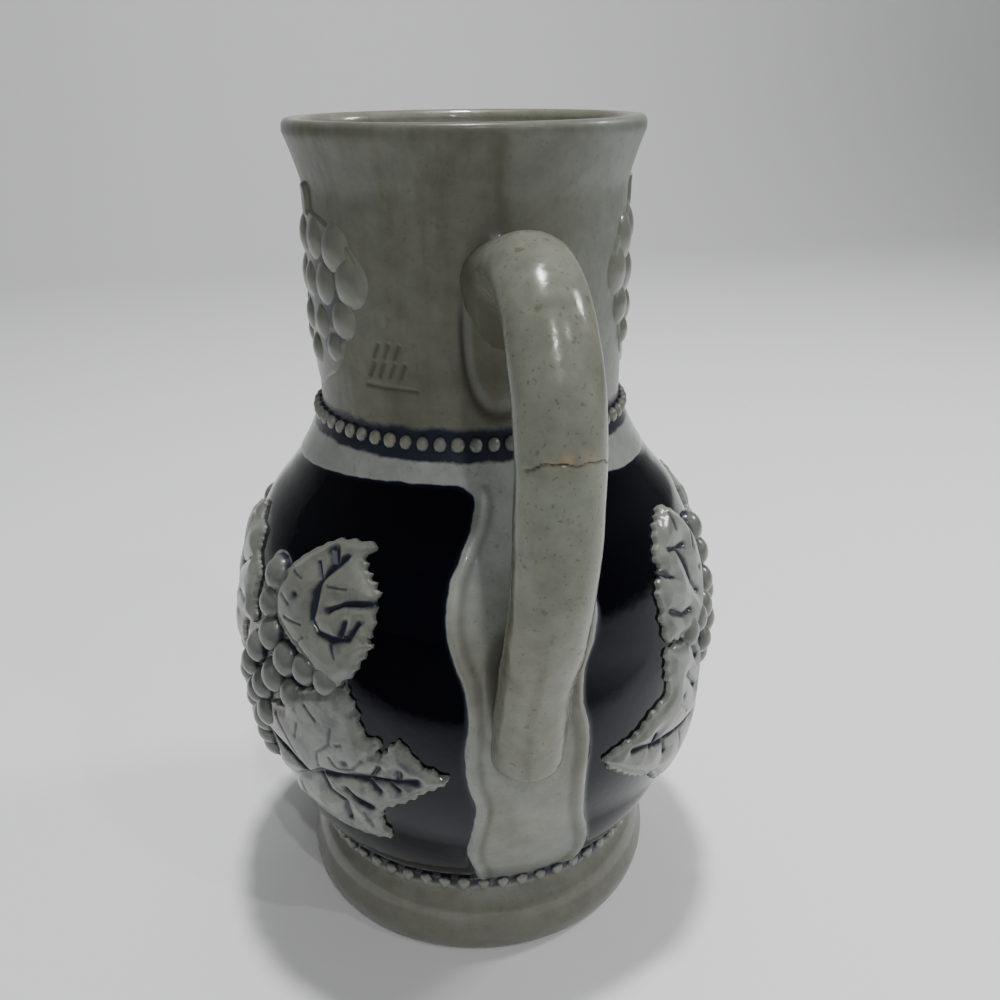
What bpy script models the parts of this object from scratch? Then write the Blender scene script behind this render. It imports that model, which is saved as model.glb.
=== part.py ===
"""Half-litre stoneware jug with a moulded vine relief.

Metres, +Z up. The jug stands on z = 0 with its axis on Z, and its handle points along -Y.
Angles round the jug are counted from the handle, positive towards +X. Places on the wall are
given as such an angle and as the arc, the distance up the wall from the widest ring.
"""

import math

import bmesh
import bpy
import numpy
from mathutils import Matrix, Vector

# Turned wall, outside
JUG_HEIGHT = 0.165
FOOT_RADIUS = 0.0389
FOOT_HEIGHT = 0.0128
FOOT_EDGE_ROUND = 0.0023
WAIST_RADIUS = 0.0354
WAIST_LEVEL = 0.0160
BELLY_RADIUS = 0.0496
BELLY_LEVEL = 0.065
NECK_RADIUS = 0.0298
NECK_LEVEL = 0.1135
NECK_SPREAD = 0.0006
LIP_RADIUS = 0.0334
LIP_FLARE = 0.0125
LIP_ROUND = 0.0022

# Belly curve: share of the height and of the radius between the waist and the widest ring,
# and between the widest ring and the neck
LOWER_BELLY_SHARES = [(0.06, 0.06), (0.12, 0.24), (0.21, 0.44), (0.41, 0.71), (0.70, 0.93)]
UPPER_BELLY_SHARES = [(0.31, 0.88), (0.56, 0.64), (0.70, 0.375), (0.80, 0.21), (0.89, 0.10)]

# Turned wall, inside
WALL = 0.0045
FLOOR = 0.0065
FLOOR_ROUND = 0.008
TURN_STEPS = 38

# Bead band under the neck and toothed band over the foot
BEAD_RADIUS = 0.0014
BEAD_RISE = 0.0012
BEAD_LEVEL = 0.1113
BEAD_COUNT = 60
TOOTH_RADIUS = 0.0013
TOOTH_RISE = 0.0013
TOOTH_LEVEL = 0.0172
TOOTH_COUNT = 56

# A bead, berry or tooth is a low faceted knob with a smaller flat top, rooted in the wall
KNOB_SIDES = 5
KNOB_TOP = 0.50
TOOTH_SIDES = 4
TOOTH_TOP = 0.0
KNOB_ROOT = 0.0010

# Handle: an oval bar that leaves the neck, loops down and lies on the belly
HANDLE_WIDTH = 0.0134
HANDLE_THICKNESS = 0.0112
HANDLE_REACH = 0.0685
HANDLE_TOP_LEVEL = 0.1452
HANDLE_REACH_LEVEL = 0.1215
HANDLE_NECK_LEVEL = 0.1400
HANDLE_FOOT_LEVEL = 0.0585
HANDLE_FOOT_SINK = 0.0005
HANDLE_ROOT_SINK = 0.0024
HANDLE_SIDES = 12
HANDLE_STATIONS = 19

# Flat oval pads that the handle grows out of
NECK_PAD_LEVEL = 0.1325
NECK_PAD_WIDTH = 0.0150
NECK_PAD_HEIGHT = 0.0320
BELLY_PAD_LEVEL = 0.0670
BELLY_PAD_WIDTH = 0.0190
BELLY_PAD_HEIGHT = 0.0290
PAD_RISE = 0.0015
PAD_DEPTH = 0.0030

# Raised wavy border of the plain panel behind the handle
PANEL_TOP_LEVEL = 0.1025
PANEL_FOOT_LEVEL = 0.0215
PANEL_HALF_ANGLE = math.radians(12.8)
PANEL_WAVE_ANGLE = math.radians(1.6)
PANEL_WAVE_LENGTH = 0.0265
PANEL_BULGE_ANGLE = math.radians(2.6)
PANEL_BULGE_LEVEL = 0.085
PANEL_BULGE_LENGTH = 0.009
BORDER_WIDTH = 0.0022
BORDER_RISE = 0.0008
BORDER_SINK = 0.0010
BORDER_STATIONS = 19

# Vine leaves: the longest lobe's reach, and each lobe's direction in degrees with its reach
# as a share of that
LEAF_RISE = 0.0014
LEAF_DOME = 0.0010
LEAF_SINK = 0.0012
LEAF_NOTCH = 0.80
LEAF_TOOTH = 1.05
UPPER_LEAF_REACH = 0.0175
UPPER_LEAF_LOBES = [(63, 1.0), (26, 0.74), (-6, 0.69), (-66, 0.80), (-118, 0.63),
                    (-160, 0.74), (160, 0.80), (112, 0.86)]
LOWER_LEAF_REACH = 0.0240
LOWER_LEAF_LOBES = [(4, 1.0), (34, 0.69), (72, 0.81), (118, 0.50), (178, 0.44),
                    (-120, 0.52), (-54, 0.79), (-24, 0.65)]
MIDDLE_LEAF_REACH = 0.0190
MIDDLE_LEAF_LOBES = [(90, 0.84), (35, 0.68), (-25, 0.74), (-90, 1.0), (-155, 0.74),
                     (145, 0.68)]
UPPER_LEAF_ARC = 0.0170
LOWER_LEAF_ARC = -0.0140
MIDDLE_LEAF_ARC = 0.0130
RIGHT_LEAF_DROP = 0.0010

# Each side of the belly carries one vine group. A leaf has its lobes and reach, lies at an
# angle from the group's middle and at an arc, is mirrored by -1 and turned in its place,
# both angles in degrees
GROUP_ANGLES = [math.radians(-90), math.radians(93)]
FAR_LEAVES = [(UPPER_LEAF_LOBES, UPPER_LEAF_REACH, 44, UPPER_LEAF_ARC, 1, 0),
              (LOWER_LEAF_LOBES, LOWER_LEAF_REACH, 45, LOWER_LEAF_ARC, 1, 0),
              (MIDDLE_LEAF_LOBES, MIDDLE_LEAF_REACH, 0, MIDDLE_LEAF_ARC, 1, 0)]
LEFT_LEAVES = FAR_LEAVES + [
    (UPPER_LEAF_LOBES, UPPER_LEAF_REACH, -44, UPPER_LEAF_ARC, -1, 0),
    (LOWER_LEAF_LOBES, LOWER_LEAF_REACH, -45, LOWER_LEAF_ARC, -1, 0)]
RIGHT_LEAVES = FAR_LEAVES + [
    (UPPER_LEAF_LOBES, UPPER_LEAF_REACH, -44, UPPER_LEAF_ARC - RIGHT_LEAF_DROP, -1, 24),
    (LOWER_LEAF_LOBES, LOWER_LEAF_REACH, -45, LOWER_LEAF_ARC - RIGHT_LEAF_DROP, -1, 0)]

# Grapes: hanging rows on the belly, from the top one down, each with its grapes' offsets
# from the group's middle in grape spacings
GRAPE_RADIUS = 0.0031
GRAPE_RISE = 0.0025
GRAPE_SPACING = 0.0064
GRAPE_TOP_ARC = 0.0215
GRAPE_ROW_DROP = 0.00595
GRAPE_ROWS = [[-3.0, 3.0],
              [-3.1, 3.1],
              [-3.0, 3.0],
              [-5.4, -4.4, -3.4, 3.4, 4.4, 5.4],
              [-3.0, -2.0, 2.0, 3.0],
              [-2.5, -1.5, 1.5, 2.5],
              [-2.0, -1.0, 0.0, 1.0, 2.0],
              [-1.5, -0.5, 0.5, 1.5],
              [-1.0, 0.0, 1.0],
              [0.0]]

# Bunch on each side of the neck
BUNCH_ANGLE = math.radians(80)
BUNCH_TOP_LEVEL = 0.1425
BUNCH_BERRY_RADIUS = 0.0041
BUNCH_SPACING = 0.0085
BUNCH_ROW_DROP = 0.0070
BUNCH_BERRY_RISE = 0.0019
BUNCH_ROWS = [3, 4, 2, 1]

STONEWARE_COLOUR = (0.30, 0.31, 0.28, 1.0)
STONEWARE_ROUGHNESS = 0.28

# Step for the wall's slope, and the distance below which points are merged
SLOPE_STEP = 0.0004
MERGE = 0.00001


def clear_scene():
    """Remove every object of the open scene."""
    for old in list(bpy.data.objects):
        bpy.data.objects.remove(old, do_unlink=True)


def make_collection(name):
    """Return a new collection linked to the scene."""
    collection = bpy.data.collections.new(name)
    bpy.context.scene.collection.children.link(collection)
    return collection


def mesh_object(name, bm, collection):
    """Turn a bmesh into an object of the collection, its faces pointing out."""
    bmesh.ops.recalc_face_normals(bm, faces=bm.faces)
    mesh = bpy.data.meshes.new(name)
    bm.to_mesh(mesh)
    bm.free()
    thing = bpy.data.objects.new(name, mesh)
    collection.objects.link(thing)
    return thing


def between(low, high, share):
    """Return the value a share of the way from low to high."""
    return low + (high - low) * share


def wall_keys():
    """Return (level, radius) of the outer wall where its curve changes, from foot to lip."""
    keys = [(0.0, FOOT_RADIUS - FOOT_EDGE_ROUND),
            (FOOT_HEIGHT * 0.12, FOOT_RADIUS - FOOT_EDGE_ROUND * 0.45),
            (FOOT_HEIGHT * 0.48, FOOT_RADIUS),
            (FOOT_HEIGHT * 0.85, between(FOOT_RADIUS, WAIST_RADIUS, 0.12)),
            (FOOT_HEIGHT, between(FOOT_RADIUS, WAIST_RADIUS, 0.45)),
            (WAIST_LEVEL, WAIST_RADIUS)]
    for rise, spread in LOWER_BELLY_SHARES:
        keys.append((between(WAIST_LEVEL, BELLY_LEVEL, rise),
                     between(WAIST_RADIUS, BELLY_RADIUS, spread)))
    keys.append((BELLY_LEVEL, BELLY_RADIUS))
    for rise, spread in UPPER_BELLY_SHARES:
        keys.append((between(BELLY_LEVEL, NECK_LEVEL, rise),
                     between(NECK_RADIUS, BELLY_RADIUS, spread)))
    keys.append((NECK_LEVEL, NECK_RADIUS))
    neck_top = JUG_HEIGHT - LIP_FLARE
    keys.append((between(NECK_LEVEL, neck_top, 0.5), NECK_RADIUS + NECK_SPREAD * 0.6))
    keys.append((neck_top, NECK_RADIUS + NECK_SPREAD))
    keys.append((between(neck_top, JUG_HEIGHT - LIP_ROUND, 0.6),
                 between(NECK_RADIUS + NECK_SPREAD, LIP_RADIUS, 0.5)))
    keys.append((JUG_HEIGHT - LIP_ROUND, LIP_RADIUS))
    return keys


class SmoothCurve:
    """A smooth curve through keys that adds no swing of its own between them."""

    def __init__(self, keys):
        self.x = numpy.array([key[0] for key in keys])
        self.y = numpy.array([key[1] for key in keys])
        steps = numpy.diff(self.x)
        rises = numpy.diff(self.y) / steps
        slopes = numpy.zeros(len(keys))
        slopes[0], slopes[-1] = rises[0], rises[-1]
        for i in range(1, len(keys) - 1):
            if rises[i - 1] * rises[i] > 0:
                before = 2 * steps[i] + steps[i - 1]
                after = steps[i] + 2 * steps[i - 1]
                slopes[i] = (before + after) / (before / rises[i - 1] + after / rises[i])
        self.slopes = slopes

    def at(self, x):
        """Return the curve's value at x."""
        i = int(numpy.clip(numpy.searchsorted(self.x, x) - 1, 0, len(self.x) - 2))
        step = self.x[i + 1] - self.x[i]
        t = min(max((x - self.x[i]) / step, 0.0), 1.0)
        return float((1 + 2 * t) * (1 - t) ** 2 * self.y[i]
                     + t * (1 - t) ** 2 * step * self.slopes[i]
                     + t * t * (3 - 2 * t) * self.y[i + 1]
                     + t * t * (t - 1) * step * self.slopes[i + 1])


WALL_CURVE = SmoothCurve(wall_keys())
ARC_LEVELS = numpy.linspace(0.0, JUG_HEIGHT - LIP_ROUND, 400)
ARC_RADII = numpy.array([WALL_CURVE.at(level) for level in ARC_LEVELS])
ARC_TABLE = numpy.concatenate([[0.0], numpy.cumsum(numpy.hypot(numpy.diff(ARC_LEVELS),
                                                               numpy.diff(ARC_RADII)))])
ARC_TABLE = ARC_TABLE - numpy.interp(BELLY_LEVEL, ARC_LEVELS, ARC_TABLE)


def arc_of(level):
    """Return the arc of a level on the outer wall."""
    return float(numpy.interp(level, ARC_LEVELS, ARC_TABLE))


def outward(angle):
    """Return the level unit vector that points away from the axis at an angle."""
    return Vector((math.sin(angle), -math.cos(angle), 0.0))


def wall_frame(angle, arc):
    """Return a point of the outer wall and the wall's outward unit normal there."""
    level = float(numpy.interp(arc, ARC_TABLE, ARC_LEVELS))
    slope = (WALL_CURVE.at(level + SLOPE_STEP) - WALL_CURVE.at(level - SLOPE_STEP)) \
        / (2 * SLOPE_STEP)
    away = outward(angle)
    normal = (away - Vector((0.0, 0.0, slope))).normalized()
    return away * WALL_CURVE.at(level) + Vector((0.0, 0.0, level)), normal


def wall_point(angle, arc, lift):
    """Return the point that stands a given lift off the outer wall."""
    point, normal = wall_frame(angle, arc)
    return point + normal * lift


def wall_matrix(angle, arc, lift):
    """Return a matrix at a wall point whose Z points out of the wall."""
    point, normal = wall_frame(angle, arc)
    turn = normal.to_track_quat("Z", "Y").to_matrix().to_4x4()
    return Matrix.Translation(point + normal * lift) @ turn


def wall_radius_at_arc(arc):
    """Return the outer wall's radius at an arc."""
    return WALL_CURVE.at(float(numpy.interp(arc, ARC_TABLE, ARC_LEVELS)))


def loft(bm, rings, middles):
    """Skin closed rings of equally many points, each end closed by a fan about its middle."""
    loops = [[bm.verts.new(point) for point in ring] for ring in rings]
    count = len(loops[0])
    for lower, upper in zip(loops, loops[1:]):
        for i in range(count):
            j = (i + 1) % count
            bm.faces.new((lower[i], lower[j], upper[j], upper[i]))
    for loop, point in zip((loops[0], loops[-1]), middles):
        middle = bm.verts.new(point)
        for i in range(count):
            bm.faces.new((loop[i], loop[(i + 1) % count], middle))


def inner_points():
    """Return the inside of the wall as (radius, level), from the floor's middle to the lip."""
    points = [(0.0, FLOOR)]
    corner = WALL_CURVE.at(WAIST_LEVEL) - WALL
    corner_level = FLOOR + FLOOR_ROUND
    for degrees in (90, 45, 0):
        angle = math.radians(degrees)
        points.append((corner - FLOOR_ROUND * (1 - math.cos(angle)),
                       corner_level - FLOOR_ROUND * math.sin(angle)))
    for share in (0.16, 0.30, 0.55, 1.0):
        level = between(corner_level, BELLY_LEVEL, share)
        points.append((WALL_CURVE.at(level) - WALL, level))
    for share in (0.35, 0.62, 0.82, 1.0):
        level = between(BELLY_LEVEL, NECK_LEVEL, share)
        points.append((WALL_CURVE.at(level) - WALL, level))
    lip_level = JUG_HEIGHT - LIP_FLARE
    points.append((WALL_CURVE.at(lip_level) - WALL, lip_level))
    points.append((LIP_RADIUS - LIP_ROUND * 1.45, JUG_HEIGHT - LIP_ROUND * 0.8))
    points.append((LIP_RADIUS - LIP_ROUND * 1.0, JUG_HEIGHT - LIP_ROUND * 0.12))
    return points


def outer_points():
    """Return the outside of the wall as (radius, level), from the lip down to the middle."""
    points = [(LIP_RADIUS - LIP_ROUND * 0.55, JUG_HEIGHT),
              (LIP_RADIUS - LIP_ROUND * 0.12, JUG_HEIGHT - LIP_ROUND * 0.3)]
    levels = [key[0] for key in wall_keys()]
    widest = levels.index(BELLY_LEVEL)
    for i in (widest - 1, widest):
        levels.append(between(levels[i], levels[i + 1], 0.5))
    for level in sorted(levels, reverse=True):
        points.append((WALL_CURVE.at(level), level))
    points.append((0.0, 0.0))
    return points


def make_wall(collection, material):
    """Turn the hollow wall, foot and lip in one piece."""
    mesh = bpy.data.meshes.new("jug")
    points = inner_points() + outer_points()
    verts = [(radius, 0.0, level) for radius, level in points]
    mesh.from_pydata(verts, [(i, i + 1) for i in range(len(verts) - 1)], [])
    jug = bpy.data.objects.new("jug", mesh)
    collection.objects.link(jug)
    mesh.materials.append(material)
    screw = jug.modifiers.new("turn", "SCREW")
    screw.steps = TURN_STEPS
    screw.render_steps = TURN_STEPS
    screw.use_merge_vertices = True
    screw.merge_threshold = MERGE
    screw.use_smooth_shade = True
    return jug


def handle_keys():
    """Return (distance from the axis, level) of the handle's middle line, neck to belly."""
    neck = WALL_CURVE.at(HANDLE_NECK_LEVEL)
    belly = WALL_CURVE.at(HANDLE_FOOT_LEVEL)
    drop = HANDLE_REACH_LEVEL - HANDLE_FOOT_LEVEL
    top_rise = HANDLE_TOP_LEVEL - HANDLE_REACH_LEVEL
    span = HANDLE_REACH - neck
    return [(neck - HANDLE_ROOT_SINK, HANDLE_NECK_LEVEL),
            (neck + span * 0.22, between(HANDLE_NECK_LEVEL, HANDLE_TOP_LEVEL, 0.55)),
            (neck + span * 0.55, HANDLE_TOP_LEVEL),
            (neck + span * 0.80, HANDLE_REACH_LEVEL + top_rise * 0.80),
            (neck + span * 0.95, HANDLE_REACH_LEVEL + top_rise * 0.42),
            (HANDLE_REACH, HANDLE_REACH_LEVEL),
            (neck + span * 0.955, HANDLE_REACH_LEVEL - drop * 0.26),
            (neck + span * 0.83, HANDLE_REACH_LEVEL - drop * 0.50),
            (between(belly, HANDLE_REACH, 0.27), HANDLE_REACH_LEVEL - drop * 0.73),
            (belly - HANDLE_FOOT_SINK, HANDLE_FOOT_LEVEL)]


def curve_through(keys, count):
    """Return evenly shared points of a smooth line through keys (Catmull-Rom)."""
    line = [Vector(key) for key in keys]
    line = [line[0] * 2 - line[1]] + line + [line[-1] * 2 - line[-2]]
    points = []
    spans = len(keys) - 1
    for i in range(count):
        place = spans * i / (count - 1)
        span = min(int(place), spans - 1)
        t = place - span
        a, b, c, d = line[span:span + 4]
        points.append(0.5 * ((2 * b) + (c - a) * t + (2 * a - 5 * b + 4 * c - d) * t * t
                             + (3 * b - a - 3 * c + d) * t ** 3))
    return points


def make_handle(collection):
    """Sweep an oval along the handle's middle line, its lower end rounded off."""
    outline = bpy.data.curves.new("handle_section", "CURVE")
    outline.dimensions = "2D"
    oval = outline.splines.new("POLY")
    oval.points.add(HANDLE_SIDES - 1)
    oval.use_cyclic_u = True
    for i, point in enumerate(oval.points):
        turn = math.tau * i / HANDLE_SIDES
        point.co = (HANDLE_WIDTH / 2 * math.cos(turn), HANDLE_THICKNESS / 2 * math.sin(turn),
                    0.0, 1.0)
    section = bpy.data.objects.new("handle_section", outline)
    collection.objects.link(section)

    line = bpy.data.curves.new("handle_line", "CURVE")
    line.dimensions = "3D"
    line.bevel_mode = "OBJECT"
    line.bevel_object = section
    line.use_fill_caps = True
    line.twist_mode = "MINIMUM"
    path = line.splines.new("POLY")
    points = curve_through(handle_keys(), HANDLE_STATIONS)
    last = points[-1]
    tail = (last - points[-2]).normalized()
    end_round = HANDLE_WIDTH * 0.32
    end_turns = (35, 62, 84)
    for turn in end_turns:
        points.append(last + tail * end_round * math.sin(math.radians(turn)))
    path.points.add(len(points) - 1)
    for i, point in enumerate(points):
        path.points[i].co = (0.0, -point[0], point[1], 1.0)
        path.points[i].radius = 1.0
    for i, turn in enumerate(end_turns):
        path.points[HANDLE_STATIONS + i].radius = math.cos(math.radians(turn))
    curve = bpy.data.objects.new("handle_line", line)
    collection.objects.link(curve)

    bpy.context.view_layer.update()
    evaluated = curve.evaluated_get(bpy.context.evaluated_depsgraph_get())
    mesh = bpy.data.meshes.new_from_object(evaluated)
    bm = bmesh.new()
    bm.from_mesh(mesh)
    bmesh.ops.remove_doubles(bm, verts=bm.verts, dist=MERGE)
    bpy.data.objects.remove(curve)
    bpy.data.objects.remove(section)
    return mesh_object("handle_form", bm, collection)


def make_pad(name, level, width, height, collection):
    """Make a flat oval swelling on the wall behind the handle."""
    bm = bmesh.new()
    bmesh.ops.create_uvsphere(bm, u_segments=12, v_segments=6, radius=1.0)
    shape = Matrix.Diagonal((width / 2, height / 2, PAD_DEPTH, 1.0))
    place = wall_matrix(0.0, arc_of(level), PAD_RISE - PAD_DEPTH)
    bmesh.ops.transform(bm, matrix=place @ shape, verts=bm.verts)
    return mesh_object(name, bm, collection)


def panel_half_angle(level):
    """Return half the panel's width, as an angle, at a level."""
    wave = math.cos(math.tau * (level - PANEL_BULGE_LEVEL) / PANEL_WAVE_LENGTH)
    bulge = math.exp(-((level - PANEL_BULGE_LEVEL) / PANEL_BULGE_LENGTH) ** 2)
    return PANEL_HALF_ANGLE + PANEL_WAVE_ANGLE * wave + PANEL_BULGE_ANGLE * bulge


def make_border(side, collection):
    """Make one raised edge of the panel behind the handle; side is -1 or 1."""
    section = [(-0.5, -BORDER_SINK), (-0.2, BORDER_RISE), (0.2, BORDER_RISE),
               (0.5, -BORDER_SINK)]
    rings = []
    for i in range(BORDER_STATIONS):
        level = between(PANEL_TOP_LEVEL, PANEL_FOOT_LEVEL, i / (BORDER_STATIONS - 1))
        arc = arc_of(level)
        radius = WALL_CURVE.at(level)
        middle = panel_half_angle(level) - BORDER_WIDTH / 2 / radius
        rings.append([wall_point(side * (middle + across * BORDER_WIDTH / radius), arc, lift)
                      for across, lift in section])
    bm = bmesh.new()
    loft(bm, rings, [sum(ring, Vector()) / len(section) for ring in (rings[0], rings[-1])])
    return mesh_object("panel_border", bm, collection)


def leaf_outline(lobes):
    """Return the leaf's outline as flat (x, y) points, four to a lobe (direction, reach)."""
    lobes = sorted(lobes)
    outline = []
    for i, (direction, reach) in enumerate(lobes):
        next_direction, next_reach = lobes[(i + 1) % len(lobes)]
        gap = (next_direction - direction) % 360
        notch_reach = LEAF_NOTCH * (reach + next_reach) / 2
        notch_direction = direction + gap / 2
        tip = (direction, reach)
        notch = (notch_direction, notch_reach)
        after_tip = (between(direction, notch_direction, 0.5),
                     between(reach, notch_reach, 0.5) * LEAF_TOOTH)
        after_notch = (between(notch_direction, direction + gap, 0.5),
                       between(notch_reach, next_reach, 0.5) * LEAF_TOOTH)
        for turn, distance in (tip, after_tip, notch, after_notch):
            angle = math.radians(turn)
            outline.append((distance * math.cos(angle), distance * math.sin(angle)))
    return outline


def add_leaf(bm, lobes, longest, angle, arc, mirror, turn):
    """Lay one leaf on the wall; mirror is 1, or -1 for its mirror image."""
    outline = leaf_outline([(direction + turn, share * longest) for direction, share in lobes])
    rings = []
    for lift in (LEAF_RISE, -LEAF_SINK):
        rings.append([wall_point(angle + mirror * x / wall_radius_at_arc(arc + y), arc + y, lift)
                      for x, y in outline])
    loft(bm, rings, [wall_point(angle, arc, LEAF_RISE + LEAF_DOME),
                     wall_point(angle, arc, -LEAF_SINK)])


def make_leaves(collection):
    """Lay the upper, lower and middle leaves of the two vine groups."""
    bm = bmesh.new()
    for group, leaves in zip(GROUP_ANGLES, (LEFT_LEAVES, RIGHT_LEAVES)):
        for lobes, longest, offset, arc, mirror, turn in leaves:
            add_leaf(bm, lobes, longest, group + math.radians(offset), arc, mirror, turn)
    return mesh_object("leaf_forms", bm, collection)


def add_knob(bm, angle, arc, radius, rise, sides=KNOB_SIDES, top=KNOB_TOP):
    """Set one faceted knob into the wall."""
    height = rise + KNOB_ROOT
    bmesh.ops.create_cone(bm, cap_ends=True, segments=sides, radius1=radius,
                          radius2=radius * top, depth=height,
                          matrix=wall_matrix(angle, arc, height / 2 - KNOB_ROOT))


def make_grapes(collection):
    """Set the grapes of the belly and the bunches on the neck."""
    bm = bmesh.new()
    for group in GROUP_ANGLES:
        for row, offsets in enumerate(GRAPE_ROWS):
            arc = GRAPE_TOP_ARC - row * GRAPE_ROW_DROP
            step = GRAPE_SPACING / wall_radius_at_arc(arc)
            for offset in offsets:
                add_knob(bm, group + offset * step, arc, GRAPE_RADIUS, GRAPE_RISE)
    for side in (-1, 1):
        for row, count in enumerate(BUNCH_ROWS):
            level = BUNCH_TOP_LEVEL - row * BUNCH_ROW_DROP
            step = BUNCH_SPACING / WALL_CURVE.at(level)
            for i in range(count):
                offset = (i - (count - 1) / 2) * step
                add_knob(bm, side * BUNCH_ANGLE + offset, arc_of(level), BUNCH_BERRY_RADIUS,
                         BUNCH_BERRY_RISE)
    return mesh_object("grape_forms", bm, collection)


def make_beads(collection):
    """Set the ring of beads under the neck."""
    bm = bmesh.new()
    for i in range(BEAD_COUNT):
        add_knob(bm, math.tau * (i + 0.5) / BEAD_COUNT, arc_of(BEAD_LEVEL), BEAD_RADIUS,
                 BEAD_RISE)
    return mesh_object("bead_forms", bm, collection)


def make_teeth(collection):
    """Set the ring of small pointed teeth over the foot."""
    bm = bmesh.new()
    for i in range(TOOTH_COUNT):
        add_knob(bm, math.tau * (i + 0.5) / TOOTH_COUNT, arc_of(TOOTH_LEVEL), TOOTH_RADIUS,
                 TOOTH_RISE, TOOTH_SIDES, TOOTH_TOP)
    return mesh_object("tooth_forms", bm, collection)


def fuse(jug, forms):
    """Union the forms into the jug, one after another."""
    for form in forms:
        form.hide_render = True
        form.display_type = "WIRE"
        union = jug.modifiers.new(form.name, "BOOLEAN")
        union.operation = "UNION"
        union.solver = "EXACT"
        union.object = form


def make_stoneware():
    """Return the grey salt-glazed stoneware material."""
    material = bpy.data.materials.new("stoneware")
    material.use_nodes = True
    shader = material.node_tree.nodes["Principled BSDF"]
    shader.inputs["Base Color"].default_value = STONEWARE_COLOUR
    shader.inputs["Roughness"].default_value = STONEWARE_ROUGHNESS
    shader.inputs["Metallic"].default_value = 0.0
    return material


def main():
    clear_scene()
    parts = make_collection("stoneware_jug")
    forms = make_collection("fused_forms")
    jug = make_wall(parts, make_stoneware())
    pads = [make_pad("neck_pad_form", NECK_PAD_LEVEL, NECK_PAD_WIDTH, NECK_PAD_HEIGHT, forms),
            make_pad("belly_pad_form", BELLY_PAD_LEVEL, BELLY_PAD_WIDTH, BELLY_PAD_HEIGHT,
                     forms)]
    borders = [make_border(-1, forms), make_border(1, forms)]
    fuse(jug, [make_leaves(forms), make_grapes(forms), make_beads(forms), make_teeth(forms)]
         + borders + pads + [make_handle(forms)])


main()
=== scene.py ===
import math

import bmesh
import bpy
import numpy as np
from mathutils import Matrix, Vector


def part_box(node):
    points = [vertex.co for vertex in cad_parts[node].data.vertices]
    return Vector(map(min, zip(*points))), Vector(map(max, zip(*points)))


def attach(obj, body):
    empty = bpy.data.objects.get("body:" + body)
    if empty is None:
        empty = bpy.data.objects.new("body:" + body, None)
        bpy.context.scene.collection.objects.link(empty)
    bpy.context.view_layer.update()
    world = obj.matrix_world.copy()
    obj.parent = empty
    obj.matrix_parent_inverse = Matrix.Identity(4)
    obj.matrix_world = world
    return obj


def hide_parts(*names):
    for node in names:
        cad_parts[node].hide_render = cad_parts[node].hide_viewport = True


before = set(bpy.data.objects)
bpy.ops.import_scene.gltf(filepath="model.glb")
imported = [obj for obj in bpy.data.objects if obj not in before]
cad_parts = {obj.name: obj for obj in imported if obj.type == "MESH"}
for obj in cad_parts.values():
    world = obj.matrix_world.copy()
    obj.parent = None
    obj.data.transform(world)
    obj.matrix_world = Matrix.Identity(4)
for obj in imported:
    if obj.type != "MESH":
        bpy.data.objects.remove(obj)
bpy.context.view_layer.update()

MM = 0.001

# Turned wall of the jug
# The pot-bellied body, its straight neck and its foot are one wall of grey stoneware, pressed
# in a two-part mould and smoothed by hand. A grey salt glaze covers it, the belly's ground is
# flooded with a black-blue glaze, and cobalt lies in the hollows.

JUG_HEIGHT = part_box("jug")[1].z
FOOT_RADIUS = 38.9 * MM
FOOT_HEIGHT = 12.8 * MM
FOOT_EDGE_ROUND = 2.3 * MM
WAIST_RADIUS = 35.4 * MM
WAIST_LEVEL = 16.0 * MM
BELLY_RADIUS = 49.6 * MM
BELLY_LEVEL = 65.0 * MM
NECK_RADIUS = 29.8 * MM
NECK_LEVEL = 113.5 * MM
NECK_SPREAD = 0.6 * MM
LIP_RADIUS = 33.4 * MM
LIP_FLARE = 12.5 * MM
LIP_ROUND = 2.2 * MM
LIP_CORNER = 0.6
WALL = 4.5 * MM
FLOOR = 6.5 * MM
FLOOR_ROUND = 8.0 * MM
LOWER_BELLY_SHARES = [(0.06, 0.06), (0.12, 0.24), (0.21, 0.44), (0.41, 0.71), (0.70, 0.93)]
UPPER_BELLY_SHARES = [(0.31, 0.88), (0.56, 0.64), (0.70, 0.375), (0.80, 0.21), (0.89, 0.10)]
WALL_COLUMNS = 300
WALL_ROWS = 190
INNER_ROWS = 60
HANDLE_SIDE_CROWDING = 0.6


def between(low, high, share):
    """Return the value a share of the way from low to high."""
    return low + (high - low) * share


def smooth_step(x):
    """Return x clipped to 0..1 and eased at both ends."""
    x = np.clip(x, 0.0, 1.0)
    return x * x * (3.0 - 2.0 * x)


def smooth_curve(keys, at):
    """Return the values at the places of a curve through keys that adds no swing between them."""
    x, y = np.array(keys, float).T
    steps = np.diff(x)
    rises = np.diff(y) / steps
    slopes = np.zeros(len(x))
    slopes[0], slopes[-1] = rises[0], rises[-1]
    for i in range(1, len(x) - 1):
        if rises[i - 1] * rises[i] > 0:
            before = 2 * steps[i] + steps[i - 1]
            after = steps[i] + 2 * steps[i - 1]
            slopes[i] = (before + after) / (before / rises[i - 1] + after / rises[i])
    at = np.asarray(at, float)
    i = np.clip(np.searchsorted(x, at) - 1, 0, len(x) - 2)
    step = x[i + 1] - x[i]
    t = np.clip((at - x[i]) / step, 0.0, 1.0)
    return ((1 + 2 * t) * (1 - t) ** 2 * y[i] + t * (1 - t) ** 2 * step * slopes[i]
            + t * t * (3 - 2 * t) * y[i + 1] + t * t * (t - 1) * step * slopes[i + 1])


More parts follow.
